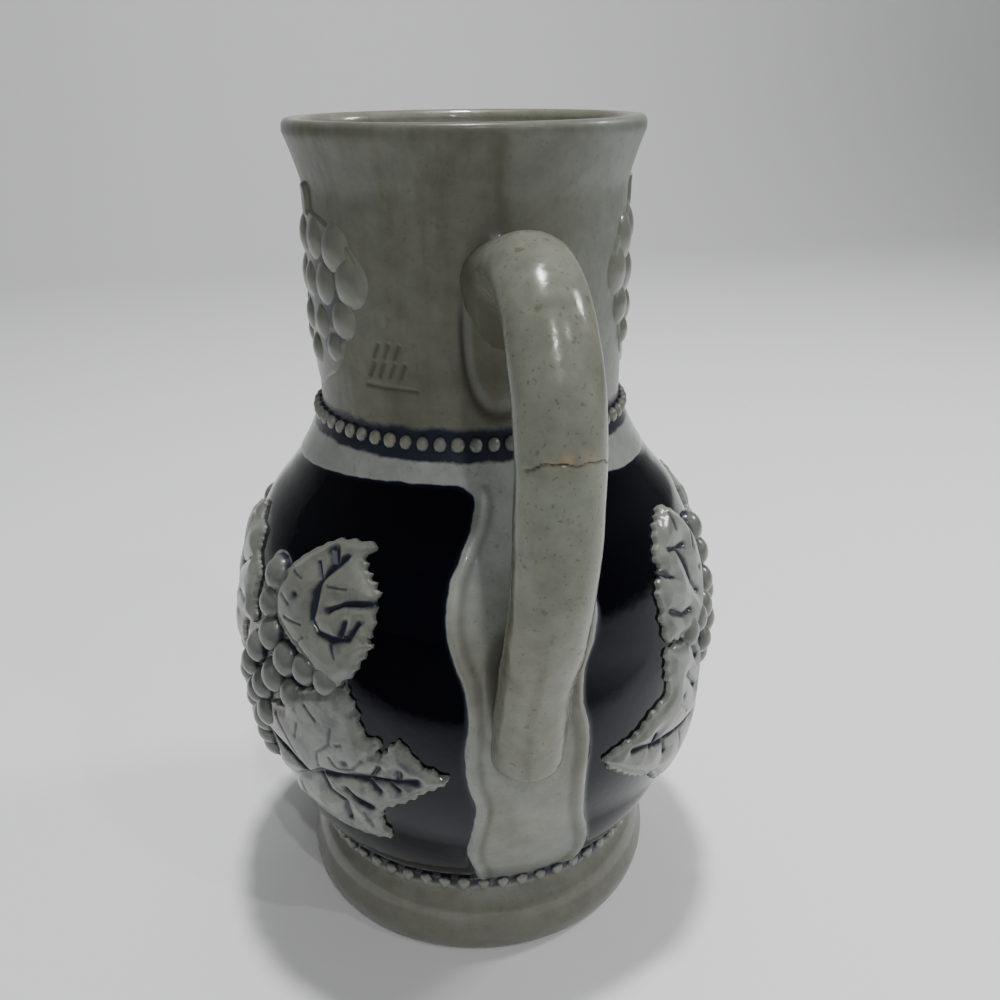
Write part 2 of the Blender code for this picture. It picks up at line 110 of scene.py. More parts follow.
neck_top = JUG_HEIGHT - LIP_FLARE
wall_keys = [(0.0, FOOT_RADIUS - FOOT_EDGE_ROUND),
             (FOOT_HEIGHT * 0.12, FOOT_RADIUS - FOOT_EDGE_ROUND * 0.45),
             (FOOT_HEIGHT * 0.48, FOOT_RADIUS),
             (FOOT_HEIGHT * 0.80, between(FOOT_RADIUS, WAIST_RADIUS, 0.14)),
             (FOOT_HEIGHT, between(FOOT_RADIUS, WAIST_RADIUS, 0.42)),
             (WAIST_LEVEL, WAIST_RADIUS)]
wall_keys += [(between(WAIST_LEVEL, BELLY_LEVEL, rise), between(WAIST_RADIUS, BELLY_RADIUS, spread))
              for rise, spread in LOWER_BELLY_SHARES]
wall_keys += [(BELLY_LEVEL, BELLY_RADIUS)]
wall_keys += [(between(BELLY_LEVEL, NECK_LEVEL, rise), between(NECK_RADIUS, BELLY_RADIUS, spread))
              for rise, spread in UPPER_BELLY_SHARES]
wall_keys += [(NECK_LEVEL, NECK_RADIUS),
              (between(NECK_LEVEL, neck_top, 0.5), NECK_RADIUS + NECK_SPREAD * 0.6),
              (neck_top, NECK_RADIUS + NECK_SPREAD),
              (between(neck_top, JUG_HEIGHT - LIP_ROUND, 0.6),
               between(NECK_RADIUS + NECK_SPREAD, LIP_RADIUS, 0.5)),
              (JUG_HEIGHT - LIP_ROUND, LIP_RADIUS)]

# The arc is the distance up the outer wall from the widest ring
wall_levels = np.linspace(0.0, JUG_HEIGHT - LIP_ROUND, 3000)
wall_radii = smooth_curve(wall_keys, wall_levels)
wall_slopes = np.gradient(wall_radii, wall_levels)
wall_arcs = np.concatenate([[0.0], np.cumsum(np.hypot(np.diff(wall_levels), np.diff(wall_radii)))])
wall_arcs -= np.interp(BELLY_LEVEL, wall_levels, wall_arcs)


def arc_of(level):
    """Return the arc of a level on the outer wall."""
    return np.interp(level, wall_levels, wall_arcs)


def level_of(arc):
    """Return the level of an arc on the outer wall."""
    return np.interp(arc, wall_arcs, wall_levels)


def radius_at(level):
    """Return the outer wall's radius at a level."""
    return np.interp(level, wall_levels, wall_radii)


def on_wall(angle, arc, lift=0.0):
    """Return points that stand a lift off the outer wall; the angle is counted from the handle."""
    level = level_of(arc)
    slope = np.interp(level, wall_levels, wall_slopes)
    out = 1.0 / np.sqrt(1.0 + slope * slope)
    radius = radius_at(level) + lift * out
    height = level - lift * slope * out
    return np.stack(np.broadcast_arrays(radius * np.sin(angle), -radius * np.cos(angle), height), -1)


class Wiring:
    """A node tree with short calls that add its nodes and return what they put out."""

    def __init__(self, tree):
        self.tree = tree
        self.link = tree.links.new

    def add(self, kind, inputs=None, **settings):
        """Add a node, set its properties, and feed its inputs by name or place."""
        node = self.tree.nodes.new(kind)
        for key, value in settings.items():
            setattr(node, key, value)
        for place, source in (inputs or {}).items():
            if isinstance(source, bpy.types.NodeSocket):
                self.link(source, node.inputs[place])
            else:
                node.inputs[place].default_value = source
        return node

    def sum(self, operation, *values):
        return self.add("ShaderNodeMath", dict(enumerate(values)), operation=operation).outputs[0]

    def times(self, *values):
        return self.sum("MULTIPLY", *values)

    def plus(self, *values):
        return self.sum("ADD", *values)

    def split(self, vector):
        return self.add("ShaderNodeSeparateXYZ", {0: vector}).outputs

    def join(self, *values):
        return self.add("ShaderNodeCombineXYZ", dict(enumerate(values))).outputs[0]

    def ramp(self, value, low, high, low_to=0.0, high_to=1.0):
        """Map a value from low..high to another range, and keep it in there."""
        return self.add("ShaderNodeMapRange", {"Value": value, "From Min": low, "From Max": high,
                                               "To Min": low_to, "To Max": high_to}).outputs[0]

    def mix(self, share, first, second):
        """Mix two colours."""
        return self.add("ShaderNodeMix", {0: share, 6: first, 7: second},
                        data_type="RGBA").outputs[2]

    def noise(self, vector, scale, detail=3.0, roughness=0.5):
        return self.add("ShaderNodeTexNoise", {"Vector": vector, "Scale": scale, "Detail": detail,
                                               "Roughness": roughness}).outputs[0]

    def note(self, name):
        """Read a number that is stored on the points of the mesh."""
        return self.add("ShaderNodeAttribute", attribute_name=name).outputs["Fac"]

    def bump(self, height):
        return self.add("ShaderNodeBump", {"Strength": 0.35, "Distance": 0.0005,
                                           "Height": height}).outputs[0]


def new_tree(name, kind, takes, gives):
    """Start a node group with the named sockets (name, kind); its wiring knows its two ends."""
    tree = bpy.data.node_groups.new(name, kind)
    for way, sockets in (("INPUT", takes), ("OUTPUT", gives)):
        for label, socket in sockets:
            tree.interface.new_socket(name=label, in_out=way, socket_type="NodeSocket" + socket)
    w = Wiring(tree)
    w.given = w.add("NodeGroupInput").outputs
    w.out = w.add("NodeGroupOutput").inputs
    return w


def new_geometry_tree(name, sizes):
    """Start a geometry tree that takes a geometry and the named sizes (name, kind)."""
    geometry = [("Geometry", "Geometry")]
    return new_tree(name, "GeometryNodeTree", geometry + sizes, geometry)


def add_object(name, content):
    """Put a mesh, a lamp or a camera in the scene, unturned and unscaled at the origin."""
    thing = bpy.data.objects.new(name, content)
    bpy.context.scene.collection.objects.link(thing)
    return thing


def shape_by(wiring, base, name, **values):
    """Run a geometry tree on a base mesh with its inputs set, and return a plain mesh object."""
    carrier = add_object(name + "_base", base)
    modifier = carrier.modifiers.new(name, "NODES")
    modifier.node_group = wiring.tree
    for item in wiring.tree.interface.items_tree:
        label = item.name.replace(" ", "_").lower()
        if item.in_out == "INPUT" and label in values:
            modifier[item.identifier] = values[label]
    bpy.context.view_layer.update()
    evaluated = carrier.evaluated_get(bpy.context.evaluated_depsgraph_get())
    mesh = bpy.data.meshes.new_from_object(evaluated)
    carrier.modifiers.remove(modifier)
    bpy.data.objects.remove(carrier)
    return add_object(name, mesh)


def points_mesh(name, points, edges=()):
    """Return a mesh of bare points and edges."""
    mesh = bpy.data.meshes.new(name)
    mesh.from_pydata([tuple(map(float, point)) for point in points], list(edges), [])
    return mesh


def read_points(mesh):
    """Return a mesh's points as an array."""
    points = np.zeros(len(mesh.vertices) * 3)
    mesh.vertices.foreach_get("co", points)
    return points.reshape(-1, 3)


def note_on(mesh, name, values):
    """Store one number for each point of a mesh."""
    attribute = mesh.attributes.get(name) or mesh.attributes.new(name, "FLOAT", "POINT")
    attribute.data.foreach_set("value", np.asarray(values, np.float32))


def finish_piece(piece, material):
    """Shade a piece smooth, give it its glaze, and tie it to the jug."""
    piece.data.materials.clear()
    piece.data.materials.append(material)
    piece.data.shade_smooth()
    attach(piece, "root")
    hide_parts("jug")


# Profile from the middle of the underside, up the outside, over the lip and down the inside
outer_top = JUG_HEIGHT - LIP_ROUND
outer_profile = [(radius_at(level), level)
                 for level in level_of(np.linspace(wall_arcs[0], wall_arcs[-1], WALL_ROWS))]
lip_crest = LIP_RADIUS - LIP_ROUND * 0.8
lip_profile = []
for turn in np.radians(np.arange(12, 180, 12)):
    squareness = LIP_CORNER if turn < math.pi / 2 else 1.0
    lip_profile.append((lip_crest + LIP_ROUND * 0.8 * math.copysign(abs(math.cos(turn)) ** squareness,
                                                                    math.cos(turn)),
                        outer_top + LIP_ROUND * math.sin(turn) ** squareness))
corner = WAIST_RADIUS - WALL
inner_keys = [(FLOOR + FLOOR_ROUND, corner)]
for share in (0.16, 0.30, 0.55, 1.0):
    level = between(FLOOR + FLOOR_ROUND, BELLY_LEVEL, share)
    inner_keys.append((level, radius_at(level) - WALL))
for share in (0.35, 0.62, 0.82, 1.0):
    level = between(BELLY_LEVEL, NECK_LEVEL, share)
    inner_keys.append((level, radius_at(level) - WALL))
inner_keys += [(neck_top, radius_at(neck_top) - WALL), (outer_top, lip_crest - LIP_ROUND * 0.8)]
inner_levels = np.linspace(outer_top, FLOOR + FLOOR_ROUND, INNER_ROWS)
inner_profile = list(zip(smooth_curve(inner_keys, inner_levels), inner_levels))
for turn in np.radians(np.arange(15, 91, 15)):
    inner_profile.append((corner - FLOOR_ROUND * (1 - math.cos(turn)),
                          FLOOR + FLOOR_ROUND * (1 - math.sin(turn))))
floor_profile = [(corner - FLOOR_ROUND) * share for share in (0.7, 0.4, 0.15, 0.0)]
inner_profile += [(radius, FLOOR) for radius in floor_profile]
under_profile = [((FOOT_RADIUS - FOOT_EDGE_ROUND) * share, 0.0) for share in (0.0, 0.25, 0.6, 0.93)]
profile = under_profile + outer_profile + lip_profile + inner_profile

w = turned_ware = new_geometry_tree("turned_ware", [("Columns", "Int"), ("Rows", "Int"),
                                                    ("Crowding", "Float")])
given = w.given
grid = w.add("GeometryNodeMeshGrid", {"Size X": 1.0, "Size Y": 1.0,
                                      "Vertices X": w.plus(given["Columns"], 1.0),
                                      "Vertices Y": w.plus(given["Rows"], 1.0)})
place = w.split(grid.outputs["UV Map"])
row = w.sum("ROUND", w.times(place[1], given["Rows"]))
turn = w.times(place[0], math.tau)
turn = w.sum("SUBTRACT", turn, w.times(w.sum("SINE", turn), given["Crowding"]))
sample = w.add("GeometryNodeSampleIndex",
               {"Geometry": given["Geometry"], "Index": row,
                "Value": w.add("GeometryNodeInputPosition").outputs[0]},
               data_type="FLOAT_VECTOR")
reach = w.split(sample.outputs[0])
east = w.times(reach[0], w.sum("SINE", turn))
north = w.times(reach[0], w.sum("COSINE", turn))
spot = w.join(east, w.times(north, -1.0), reach[2])
moved = w.add("GeometryNodeSetPosition", {"Geometry": grid.outputs["Mesh"], "Position": spot})
merged = w.add("GeometryNodeMergeByDistance", {"Geometry": moved.outputs[0], "Distance": 1e-6})
w.link(merged.outputs[0], w.out[0])

profile_mesh = points_mesh("jug_profile", [(radius, 0.0, level) for radius, level in profile],
                           [(i, i + 1) for i in range(len(profile) - 1)])
jug_wall = shape_by(turned_ware, profile_mesh, "jug_wall", columns=WALL_COLUMNS,
                    rows=len(profile) - 1, crowding=HANDLE_SIDE_CROWDING)

# Capacity mark: a fill line with two rows of shallow slanted strokes, pressed into the neck
MARK_ANGLES = (-49.0, -27.0)
MARK_LINE_LEVEL = 121.0 * MM
MARK_LINE_ANGLES = (-48.0, -28.5)
STROKE_ROWS = [(123.0 * MM, [-45.5, -41.5, -37.5, -33.5]), (126.4 * MM, [-43.5, -39.5, -35.5])]
STROKE_HEIGHT = 2.2 * MM
STROKE_LEAN = 0.5 * MM
STROKE_WIDTH = 0.42 * MM
STROKE_DEPTH = 0.24 * MM
MARK_MARGIN = 1.5 * MM


def to_line(x, y, ends, other_ends):
    """Return the distance of flat points from the stretch between two places."""
    ax, ay = ends
    dx, dy = other_ends[0] - ax, other_ends[1] - ay
    t = np.clip(((x - ax) * dx + (y - ay) * dy) / (dx * dx + dy * dy), 0.0, 1.0)
    return np.hypot(x - ax - t * dx, y - ay - t * dy)


# A finer net of faces where the strokes go
bm = bmesh.new()
bm.from_mesh(jug_wall.data)
mark_edges = []
for edge in bm.edges:
    middle = (edge.verts[0].co + edge.verts[1].co) / 2
    if math.hypot(middle.x, middle.y) < NECK_RADIUS - WALL / 2:
        continue
    angle = math.degrees(math.atan2(middle.x, -middle.y))
    if not MARK_LINE_LEVEL - MARK_MARGIN < middle.z < STROKE_ROWS[-1][0] + STROKE_HEIGHT + MARK_MARGIN:
        continue
    if MARK_ANGLES[0] - 1.5 < angle < MARK_ANGLES[1] + 1.5:
        mark_edges.append(edge)
bmesh.ops.subdivide_edges(bm, edges=mark_edges, cuts=4, use_grid_fill=True)
bm.to_mesh(jug_wall.data)
bm.free()

# Relief that lies in the wall itself
NECK_PAD_LEVEL = 132.5 * MM
NECK_PAD_HALF = (6.4 * MM, 15.6 * MM)
BELLY_PAD_LEVEL = 71.5 * MM
BELLY_PAD_HALF = (8.4 * MM, 13.0 * MM)
PAD_RISE = 1.3 * MM
PAD_EDGE = 1.9 * MM
PAD_GROOVE_DEPTH = 0.16 * MM
PAD_GROOVE_REACH = 6.0 * MM
PANEL_EDGE_LEFT = [(18, 11.0), (25, 12.0), (33, 13.6), (40, 12.2), (46, 11.3), (52, 12.7), (58, 13.3),
                   (66, 12.2), (72, 12.8), (79, 15.6), (85, 16.8), (90, 16.2), (95, 13.4), (99, 10.8),
                   (102, 9.8), (105, 11.2)]
PANEL_EDGE_RIGHT = [(18, 19.5), (25, 19.8), (33, 18.0), (39, 15.5), (44, 14.2), (50, 13.8), (57, 14.1),
                    (62, 13.6), (68, 12.1), (74, 13.0), (79, 15.9), (85, 17.6), (90, 16.4), (95, 13.6),
                    (99, 11.2), (102, 10.2), (105, 11.4)]
PANEL_TOP_LEVEL = 105.0 * MM
RIB_WIDTH = 2.1 * MM
RIB_RISE = 0.75 * MM
COLLAR_LEVEL = 103.6 * MM
COLLAR_SWING = 1.4 * MM
COLLAR_SWING_TURN = math.radians(20)
GROUND_FOOT_LEVEL = 18.3 * MM
GROUND_DROP = 0.18 * MM
CORNER_ROUND = 3.0 * MM
SEAM_LEVEL = 145.0 * MM
SEAM_RISE = 0.16 * MM
SEAM_WIDTH = 0.8 * MM
BEAD_LEVEL = 111.3 * MM
TOOTH_LEVEL = 17.2 * MM
BEAD_COBALT_HALF = 3.0 * MM
TOOTH_COBALT_HALF = 1.9 * MM
HAND_WAVE = 0.07 * MM
ROOT_SWELL = 2.8 * MM
ROOT_SWELL_REACH = 11.0 * MM
ROOT_SWELL_LEVEL = 139.5 * MM


def soft_least(first, second, reach):
    """Return the lesser of two fields, rounded off where they meet."""
    share = np.clip(0.5 + 0.5 * (second - first) / reach, 0.0, 1.0)
    return second + (first - second) * share - reach * share * (1.0 - share)


def pad_depth(angle, level, middle, half):
    """Return how far inside an oval pad a place of the wall is, negative outside."""
    across = angle * radius_at(level) / half[0]
    up = (level - middle) / half[1]
    size = (np.abs(across) ** 2.4 + np.abs(up) ** 2.4) ** (1 / 2.4)
    return (1.0 - size) * half[0]


points = read_points(jug_wall.data)
flat_radius = np.hypot(points[:, 0], points[:, 1])
angle = np.arctan2(points[:, 0], -points[:, 1])
level = points[:, 2]
outer = (np.abs(flat_radius - radius_at(level)) < WALL * 0.3) & (level < outer_top) & (level > 1e-6)
arc = arc_of(level)
reach = radius_at(level)

edge_angle = np.where(angle < 0, smooth_curve(PANEL_EDGE_LEFT, level / MM),
                      smooth_curve(PANEL_EDGE_RIGHT, level / MM))
from_edge = (np.abs(angle) - np.radians(edge_angle)) * reach
collar = COLLAR_LEVEL + COLLAR_SWING * np.cos(2 * (angle + COLLAR_SWING_TURN))
under_collar = arc_of(collar) - arc
over_foot = arc - arc_of(GROUND_FOOT_LEVEL)
dark_ground = soft_least(soft_least(from_edge, under_collar, CORNER_ROUND), over_foot,
                         CORNER_ROUND * 0.6)

rib = np.exp(-((from_edge + RIB_WIDTH * 0.5) / (RIB_WIDTH * 0.42)) ** 2)
rib *= smooth_step((PANEL_TOP_LEVEL - level) / (4 * MM)) * smooth_step((level - 17 * MM) / (3 * MM))
lift = RIB_RISE * rib
lift -= GROUND_DROP * smooth_step(dark_ground / (0.8 * MM))
# Pooled glaze and painted shade: a dark strip along the inner foot of the panel's rib
pooled = 0.5 * np.exp(-((from_edge + RIB_WIDTH * 1.25) / (RIB_WIDTH * 0.4)) ** 2) \
    * (level < PANEL_TOP_LEVEL) * smooth_step((level - GROUND_FOOT_LEVEL) / (3 * MM))
# Each pad has a groove round its lower part, darkened as pooled glaze and painted shade
for pad_level, half, groove_weight in ((NECK_PAD_LEVEL, NECK_PAD_HALF, 1.0),
                              (BELLY_PAD_LEVEL, BELLY_PAD_HALF, 0.3)):
    depth = pad_depth(angle, level, pad_level, half)
    lift += PAD_RISE * smooth_step((depth + 0.3 * MM) / PAD_EDGE)
    groove = np.exp(-((depth + 0.35 * MM) / (0.55 * MM)) ** 2)
    groove *= smooth_step((pad_level + PAD_GROOVE_REACH - level) / PAD_GROOVE_REACH)
    lift -= PAD_GROOVE_DEPTH * groove * groove_weight
    pooled = np.maximum(pooled, groove * groove_weight)
    # Painted shade: the belly pad left of the handle is darkened where its side lies in shadow
    if pad_level == BELLY_PAD_LEVEL:
        pooled = np.maximum(pooled, 0.6 * smooth_step(depth / (1.2 * MM)) * (angle < 0))
from_root = np.hypot(angle * reach, level - ROOT_SWELL_LEVEL) / ROOT_SWELL_REACH
lift += ROOT_SWELL * np.exp(-1.4 * from_root ** 2) * (np.abs(angle) < 1.0)
seam = np.exp(-(angle * reach / SEAM_WIDTH) ** 2) * smooth_step((level - SEAM_LEVEL) / (6 * MM))
lift += SEAM_RISE * seam
pooled = np.maximum(pooled, 0.35 * np.exp(-(angle * reach / (1.3 * MM)) ** 2) * (level > SEAM_LEVEL))

mark_x, mark_y = angle * NECK_RADIUS, level
stroke_ends = [((math.radians(MARK_LINE_ANGLES[0]) * NECK_RADIUS, MARK_LINE_LEVEL),
                (math.radians(MARK_LINE_ANGLES[1]) * NECK_RADIUS, MARK_LINE_LEVEL - 0.3 * MM))]
for low_end, places_along in STROKE_ROWS:
    for degrees in places_along:
        x = math.radians(degrees) * NECK_RADIUS
        stroke_ends.append(((x - STROKE_LEAN, low_end), (x + STROKE_LEAN, low_end + STROKE_HEIGHT)))
strokes = np.min([to_line(mark_x, mark_y, *ends) for ends in stroke_ends], axis=0)
pressed = np.exp(-(strokes / STROKE_WIDTH) ** 2)
lift -= STROKE_DEPTH * pressed
pooled = np.maximum(pooled, 0.65 * pressed)

lift += HAND_WAVE * (np.sin(3 * angle + level * 90) + 0.7 * np.sin(5 * angle - level * 150 + 1.3))
lift *= smooth_step(level / (3 * MM)) * smooth_step((outer_top - level) / (5 * MM))
raised = on_wall(angle, arc, lift)
points[outer] = raised[outer]
jug_wall.data.vertices.foreach_set("co", points.ravel())
jug_wall.data.update()

cobalt = smooth_step((BEAD_COBALT_HALF - np.abs(level - BEAD_LEVEL)) / (0.7 * MM))
tooth_cobalt = smooth_step((TOOTH_COBALT_HALF - np.abs(level - TOOTH_LEVEL)) / (0.8 * MM))
cobalt = np.maximum(cobalt, 0.8 * tooth_cobalt)

# Where the vine of each side lies: its middle line's angle from the handle, and its grapes as
# degrees from that line and arcs in millimetres
VINE_ANGLES = {"left": math.radians(-90), "right": math.radians(93)}
GRAPE_WIDTH = 6.6 * MM
GRAPE_HEIGHT = 7.3 * MM
GRAPE_RISE = 3.2 * MM
GRAPE_SINK = 0.7 * MM
GRAPE_GROUND = 4.3 * MM
HALF_BUNCH = [(25.7, 20.8), (25.2, 14.9), (26.6, 9.0), (33.2, 5.9), (39.8, 6.0), (46.0, 5.6),
              (20.0, 3.6), (28.2, 0.6), (35.4, -0.8), (14.2, -2.2), (21.4, -4.2), (7.2, -7.6),
              (14.6, -8.8), (21.0, -11.0), (7.4, -14.2), (14.8, -15.4), (3.9, -20.2),
              (11.4, -21.0), (7.8, -26.4)]
MIDDLE_BUNCH = [(0.0, -13.2), (0.0, -26.2), (0.0, -32.0)]
grape_places = [(math.radians(degrees), arc * MM) for degrees, arc in HALF_BUNCH + MIDDLE_BUNCH]
grape_places += [(-math.radians(degrees), arc * MM) for degrees, arc in HALF_BUNCH]

hollow = np.full(len(points), -1.0)
for vine_angle in VINE_ANGLES.values():
    for grape_turn, grape_arc in grape_places:
        turn_off = (angle - vine_angle - grape_turn + math.pi) % math.tau - math.pi
        hollow = np.maximum(hollow, GRAPE_GROUND - np.hypot(turn_off * reach, arc - grape_arc))
dark_ground = np.minimum(dark_ground, -hollow)
under_grapes = 0.75 * smooth_step((hollow + 0.2 * MM) / (0.6 * MM)) * (level < PANEL_TOP_LEVEL)
cobalt = np.maximum(cobalt, under_grapes)

note_on(jug_wall.data, "black_glaze", np.where(outer, dark_ground / MM, -5.0))
note_on(jug_wall.data, "cobalt", np.where(outer, cobalt, 0.0))
note_on(jug_wall.data, "pooled", np.where(outer, pooled, 0.0))
note_on(jug_wall.data, "inside", smooth_step((radius_at(level) - 1.0 * MM - flat_radius) / (1.5 * MM)))

# Glaze shared by every piece: colour that drifts from grey to olive, streaks down the wall, iron
# specks, darker glaze where it pools, painted shade in recesses, and the fine orange peel of a salt
# firing
NECK_GREY = (0.112, 0.114, 0.090, 1.0)
NECK_OLIVE = (0.086, 0.081, 0.054, 1.0)
NECK_GREEN = (0.142, 0.152, 0.130, 1.0)
PALE_GREY = (0.196, 0.209, 0.188, 1.0)
PALE_OLIVE = (0.172, 0.168, 0.132, 1.0)
PALE_GREEN = (0.196, 0.212, 0.192, 1.0)
# Dark olive for pooled glaze and for painted shade in recesses
POOL_AND_SHADE_GLAZE = (0.045, 0.042, 0.030, 1.0)
COBALT_GLAZE = (0.016, 0.019, 0.031, 1.0)
SPECK_BROWN = (0.050, 0.036, 0.024, 1.0)
BLACK_GLAZE = (0.0015, 0.0015, 0.0030, 1.0)
BLUE_GLAZE = (0.006, 0.007, 0.016, 1.0)
SPECULAR_BLUE = (0.84, 0.87, 1.0, 1.0)
NECK_GLAZE_FROM = 109.5 * MM
NECK_GLAZE_TO = 113.5 * MM
# Right of the seam the neck is lighter and greener: the glaze's greener tone with painted light from the
# right side
RIGHT_LIGHT_FROM = 2.0 * MM
RIGHT_LIGHT_TO = 20.0 * MM
SEAM_LIGHT_FROM = -0.6 * MM
SEAM_LIGHT_TO = 1.6 * MM
SEAM_LIGHT_SHARE = 0.45
# Painted light: the inside of the mouth and the lip crest take a lighter olive, as if lit from above
INNER_LIT_OLIVE = (0.165, 0.166, 0.128, 1.0)
FOOT_OLIVE = (0.126, 0.125, 0.100, 1.0)
FOOT_TONE_FROM = 12.0 * MM
FOOT_TONE_TO = 17.0 * MM
# Painted light from above: the pale glaze turns lighter up the shoulder
SHOULDER_LIT_GREEN = (0.255, 0.275, 0.250, 1.0)
SHOULDER_LIGHT_FROM = 76.0 * MM
SHOULDER_LIGHT_TO = 98.0 * MM


w = salt_glaze = new_tree(
    "salt_glaze", "ShaderNodeTree",
    [("Place", "Vector"), ("Grey", "Color"), ("Olive", "Color"), ("Green", "Color"),
     ("Specks", "Float"), ("Streaks", "Float"), ("Pooled", "Float"), ("Cobalt", "Float")],
    [("Color", "Color"), ("Height", "Float"), ("Roughness", "Float")])
given = w.given
spot = given["Place"]
drawn_out = w.add("ShaderNodeVectorMath", {0: spot, 1: (1.0, 1.0, 0.07)},
                  operation="MULTIPLY").outputs[0]
patches = w.ramp(w.noise(spot, 22.0, 4.0, 0.6), 0.35, 0.68)
tone = w.mix(patches, given["Grey"], given["Olive"])
green_patches = w.ramp(w.noise(spot, 14.0, 2.0), 0.48, 0.70)
tone = w.mix(green_patches, tone, given["Green"])
streaks = w.ramp(w.noise(drawn_out, 380.0, 3.0, 0.55), 0.42, 0.72)
tone = w.mix(w.times(streaks, given["Streaks"]), tone, given["Olive"])
mottle = w.ramp(w.noise(spot, 240.0, 3.0, 0.6), 0.3, 0.7, 0.86, 1.14)
tone = w.add("ShaderNodeVectorMath", {0: tone, "Scale": mottle}, operation="SCALE").outputs[0]
fine = w.ramp(w.noise(spot, 1500.0, 2.0, 0.5), 0.62, 0.72)
coarse = w.ramp(w.noise(spot, 520.0, 2.0, 0.4), 0.68, 0.74)
specks = w.times(w.sum("MAXIMUM", fine, coarse), given["Specks"])
tone = w.mix(specks, tone, SPECK_BROWN)
tone = w.mix(given["Pooled"], tone, POOL_AND_SHADE_GLAZE)
brushed = w.ramp(w.noise(spot, 300.0, 3.0, 0.6), 0.3, 0.7, -0.25, 0.25)
wash = w.ramp(w.plus(given["Cobalt"], brushed), 0.25, 0.75)
tone = w.mix(wash, tone, COBALT_GLAZE)
peel = w.noise(spot, 620.0, 2.0, 0.4)
ripple = w.noise(spot, 120.0, 2.0, 0.4)
w.link(tone, w.out["Color"])
w.link(w.plus(w.times(peel, 0.45), ripple), w.out["Height"])
w.link(w.ramp(w.noise(spot, 60.0, 3.0), 0.3, 0.7, 0.30, 0.42), w.out["Roughness"])


def glazed(name, specks=0.25, streaks=0.5, grey=PALE_GREY, olive=PALE_OLIVE, green=PALE_GREEN):
    """Start a glaze material; return it with its wiring, shader, skin group and place."""
    material = bpy.data.materials.new(name)
    material.use_nodes = True
    w = Wiring(material.node_tree)
    shader = w.tree.nodes["Principled BSDF"]
    shader.inputs["Specular IOR Level"].default_value = 0.3
    shader.inputs["Coat Weight"].default_value = 0.5
    shader.inputs["Coat Roughness"].default_value = 0.05
    spot = w.add("ShaderNodeTexCoord").outputs["Object"]
    skin = w.tree.nodes.new("ShaderNodeGroup")
    skin.node_tree = salt_glaze.tree
    w.link(spot, skin.inputs["Place"])
    for label, value in (("Grey", grey), ("Olive", olive), ("Green", green), ("Specks", specks),
                         ("Streaks", streaks)):
        skin.inputs[label].default_value = value
    w.link(w.note("pooled"), skin.inputs["Pooled"])
    w.link(w.note("cobalt"), skin.inputs["Cobalt"])
    w.link(skin.outputs["Color"], shader.inputs["Base Color"])
    w.link(skin.outputs["Roughness"], shader.inputs["Roughness"])
    w.link(w.bump(skin.outputs["Height"]), shader.inputs["Normal"])
    return material, w, shader, skin, spot


wall_glaze, w, shader, skin, spot = glazed("wall_glaze")
shader.inputs["Specular IOR Level"].default_value = 0.28
shader.inputs["Specular Tint"].default_value = SPECULAR_BLUE
axes = w.split(spot)
on_neck = w.ramp(axes[2], NECK_GLAZE_FROM, NECK_GLAZE_TO)
# Painted light from the right: the neck turns lighter and greener past the seam
lit_right_side = w.sum("MAXIMUM", w.ramp(axes[0], RIGHT_LIGHT_FROM, RIGHT_LIGHT_TO),
                 w.ramp(axes[0], SEAM_LIGHT_FROM, SEAM_LIGHT_TO, 0.0, SEAM_LIGHT_SHARE))
# Inside the mouth the tone is painted lighter as painted light; the coat is glossier there too
inside = w.note("inside")
on_foot = w.ramp(axes[2], FOOT_TONE_FROM, FOOT_TONE_TO, 1.0, 0.0)
# Painted light: the shoulder is painted lighter towards the top
lit_shoulder = w.ramp(axes[2], SHOULDER_LIGHT_FROM, SHOULDER_LIGHT_TO)
for label, neck_tone, pale_tone in (("Grey", NECK_GREY, PALE_GREY), ("Olive", NECK_OLIVE, PALE_OLIVE),
                                    ("Green", NECK_GREEN, PALE_GREEN)):
    neck_tone = w.mix(inside, w.mix(lit_right_side, neck_tone, NECK_GREEN), INNER_LIT_OLIVE)
    pale_tone = w.mix(lit_shoulder, w.mix(on_foot, pale_tone, FOOT_OLIVE), SHOULDER_LIT_GREEN)
    w.link(w.mix(on_neck, pale_tone, neck_tone), skin.inputs[label])
ragged = w.ramp(w.noise(spot, 260.0, 3.0), 0.3, 0.7, -0.18, 0.18)
depth = w.plus(w.note("black_glaze"), ragged)
black = w.ramp(depth, -0.10, 0.16)
ground = w.mix(w.ramp(depth, 0.1, 1.0), BLUE_GLAZE, BLACK_GLAZE)
w.link(w.mix(black, skin.outputs["Color"], ground), shader.inputs["Base Color"])
gloss = w.add("ShaderNodeMix", {0: black, 2: skin.outputs["Roughness"], 3: 0.06})
w.link(gloss.outputs[0], shader.inputs["Roughness"])
coat = w.sum("MAXIMUM", w.ramp(on_neck, 0.0, 1.0, 0.5, 0.15), w.times(inside, 0.6))
w.link(w.times(coat, w.sum("SUBTRACT", 1.0, black)), shader.inputs["Coat Weight"])
wave = w.times(skin.outputs["Height"], w.ramp(black, 0.0, 1.0, 1.0, 0.35))
w.link(w.bump(wave), shader.inputs["Normal"])
finish_piece(jug_wall, wall_glaze)

# Handle
# The handle is a pulled oval bar of the same clay. It is luted on to a pad under the rim, loops
# down and is pressed flat on to the belly. A hairline crack with a tan stain runs across it.

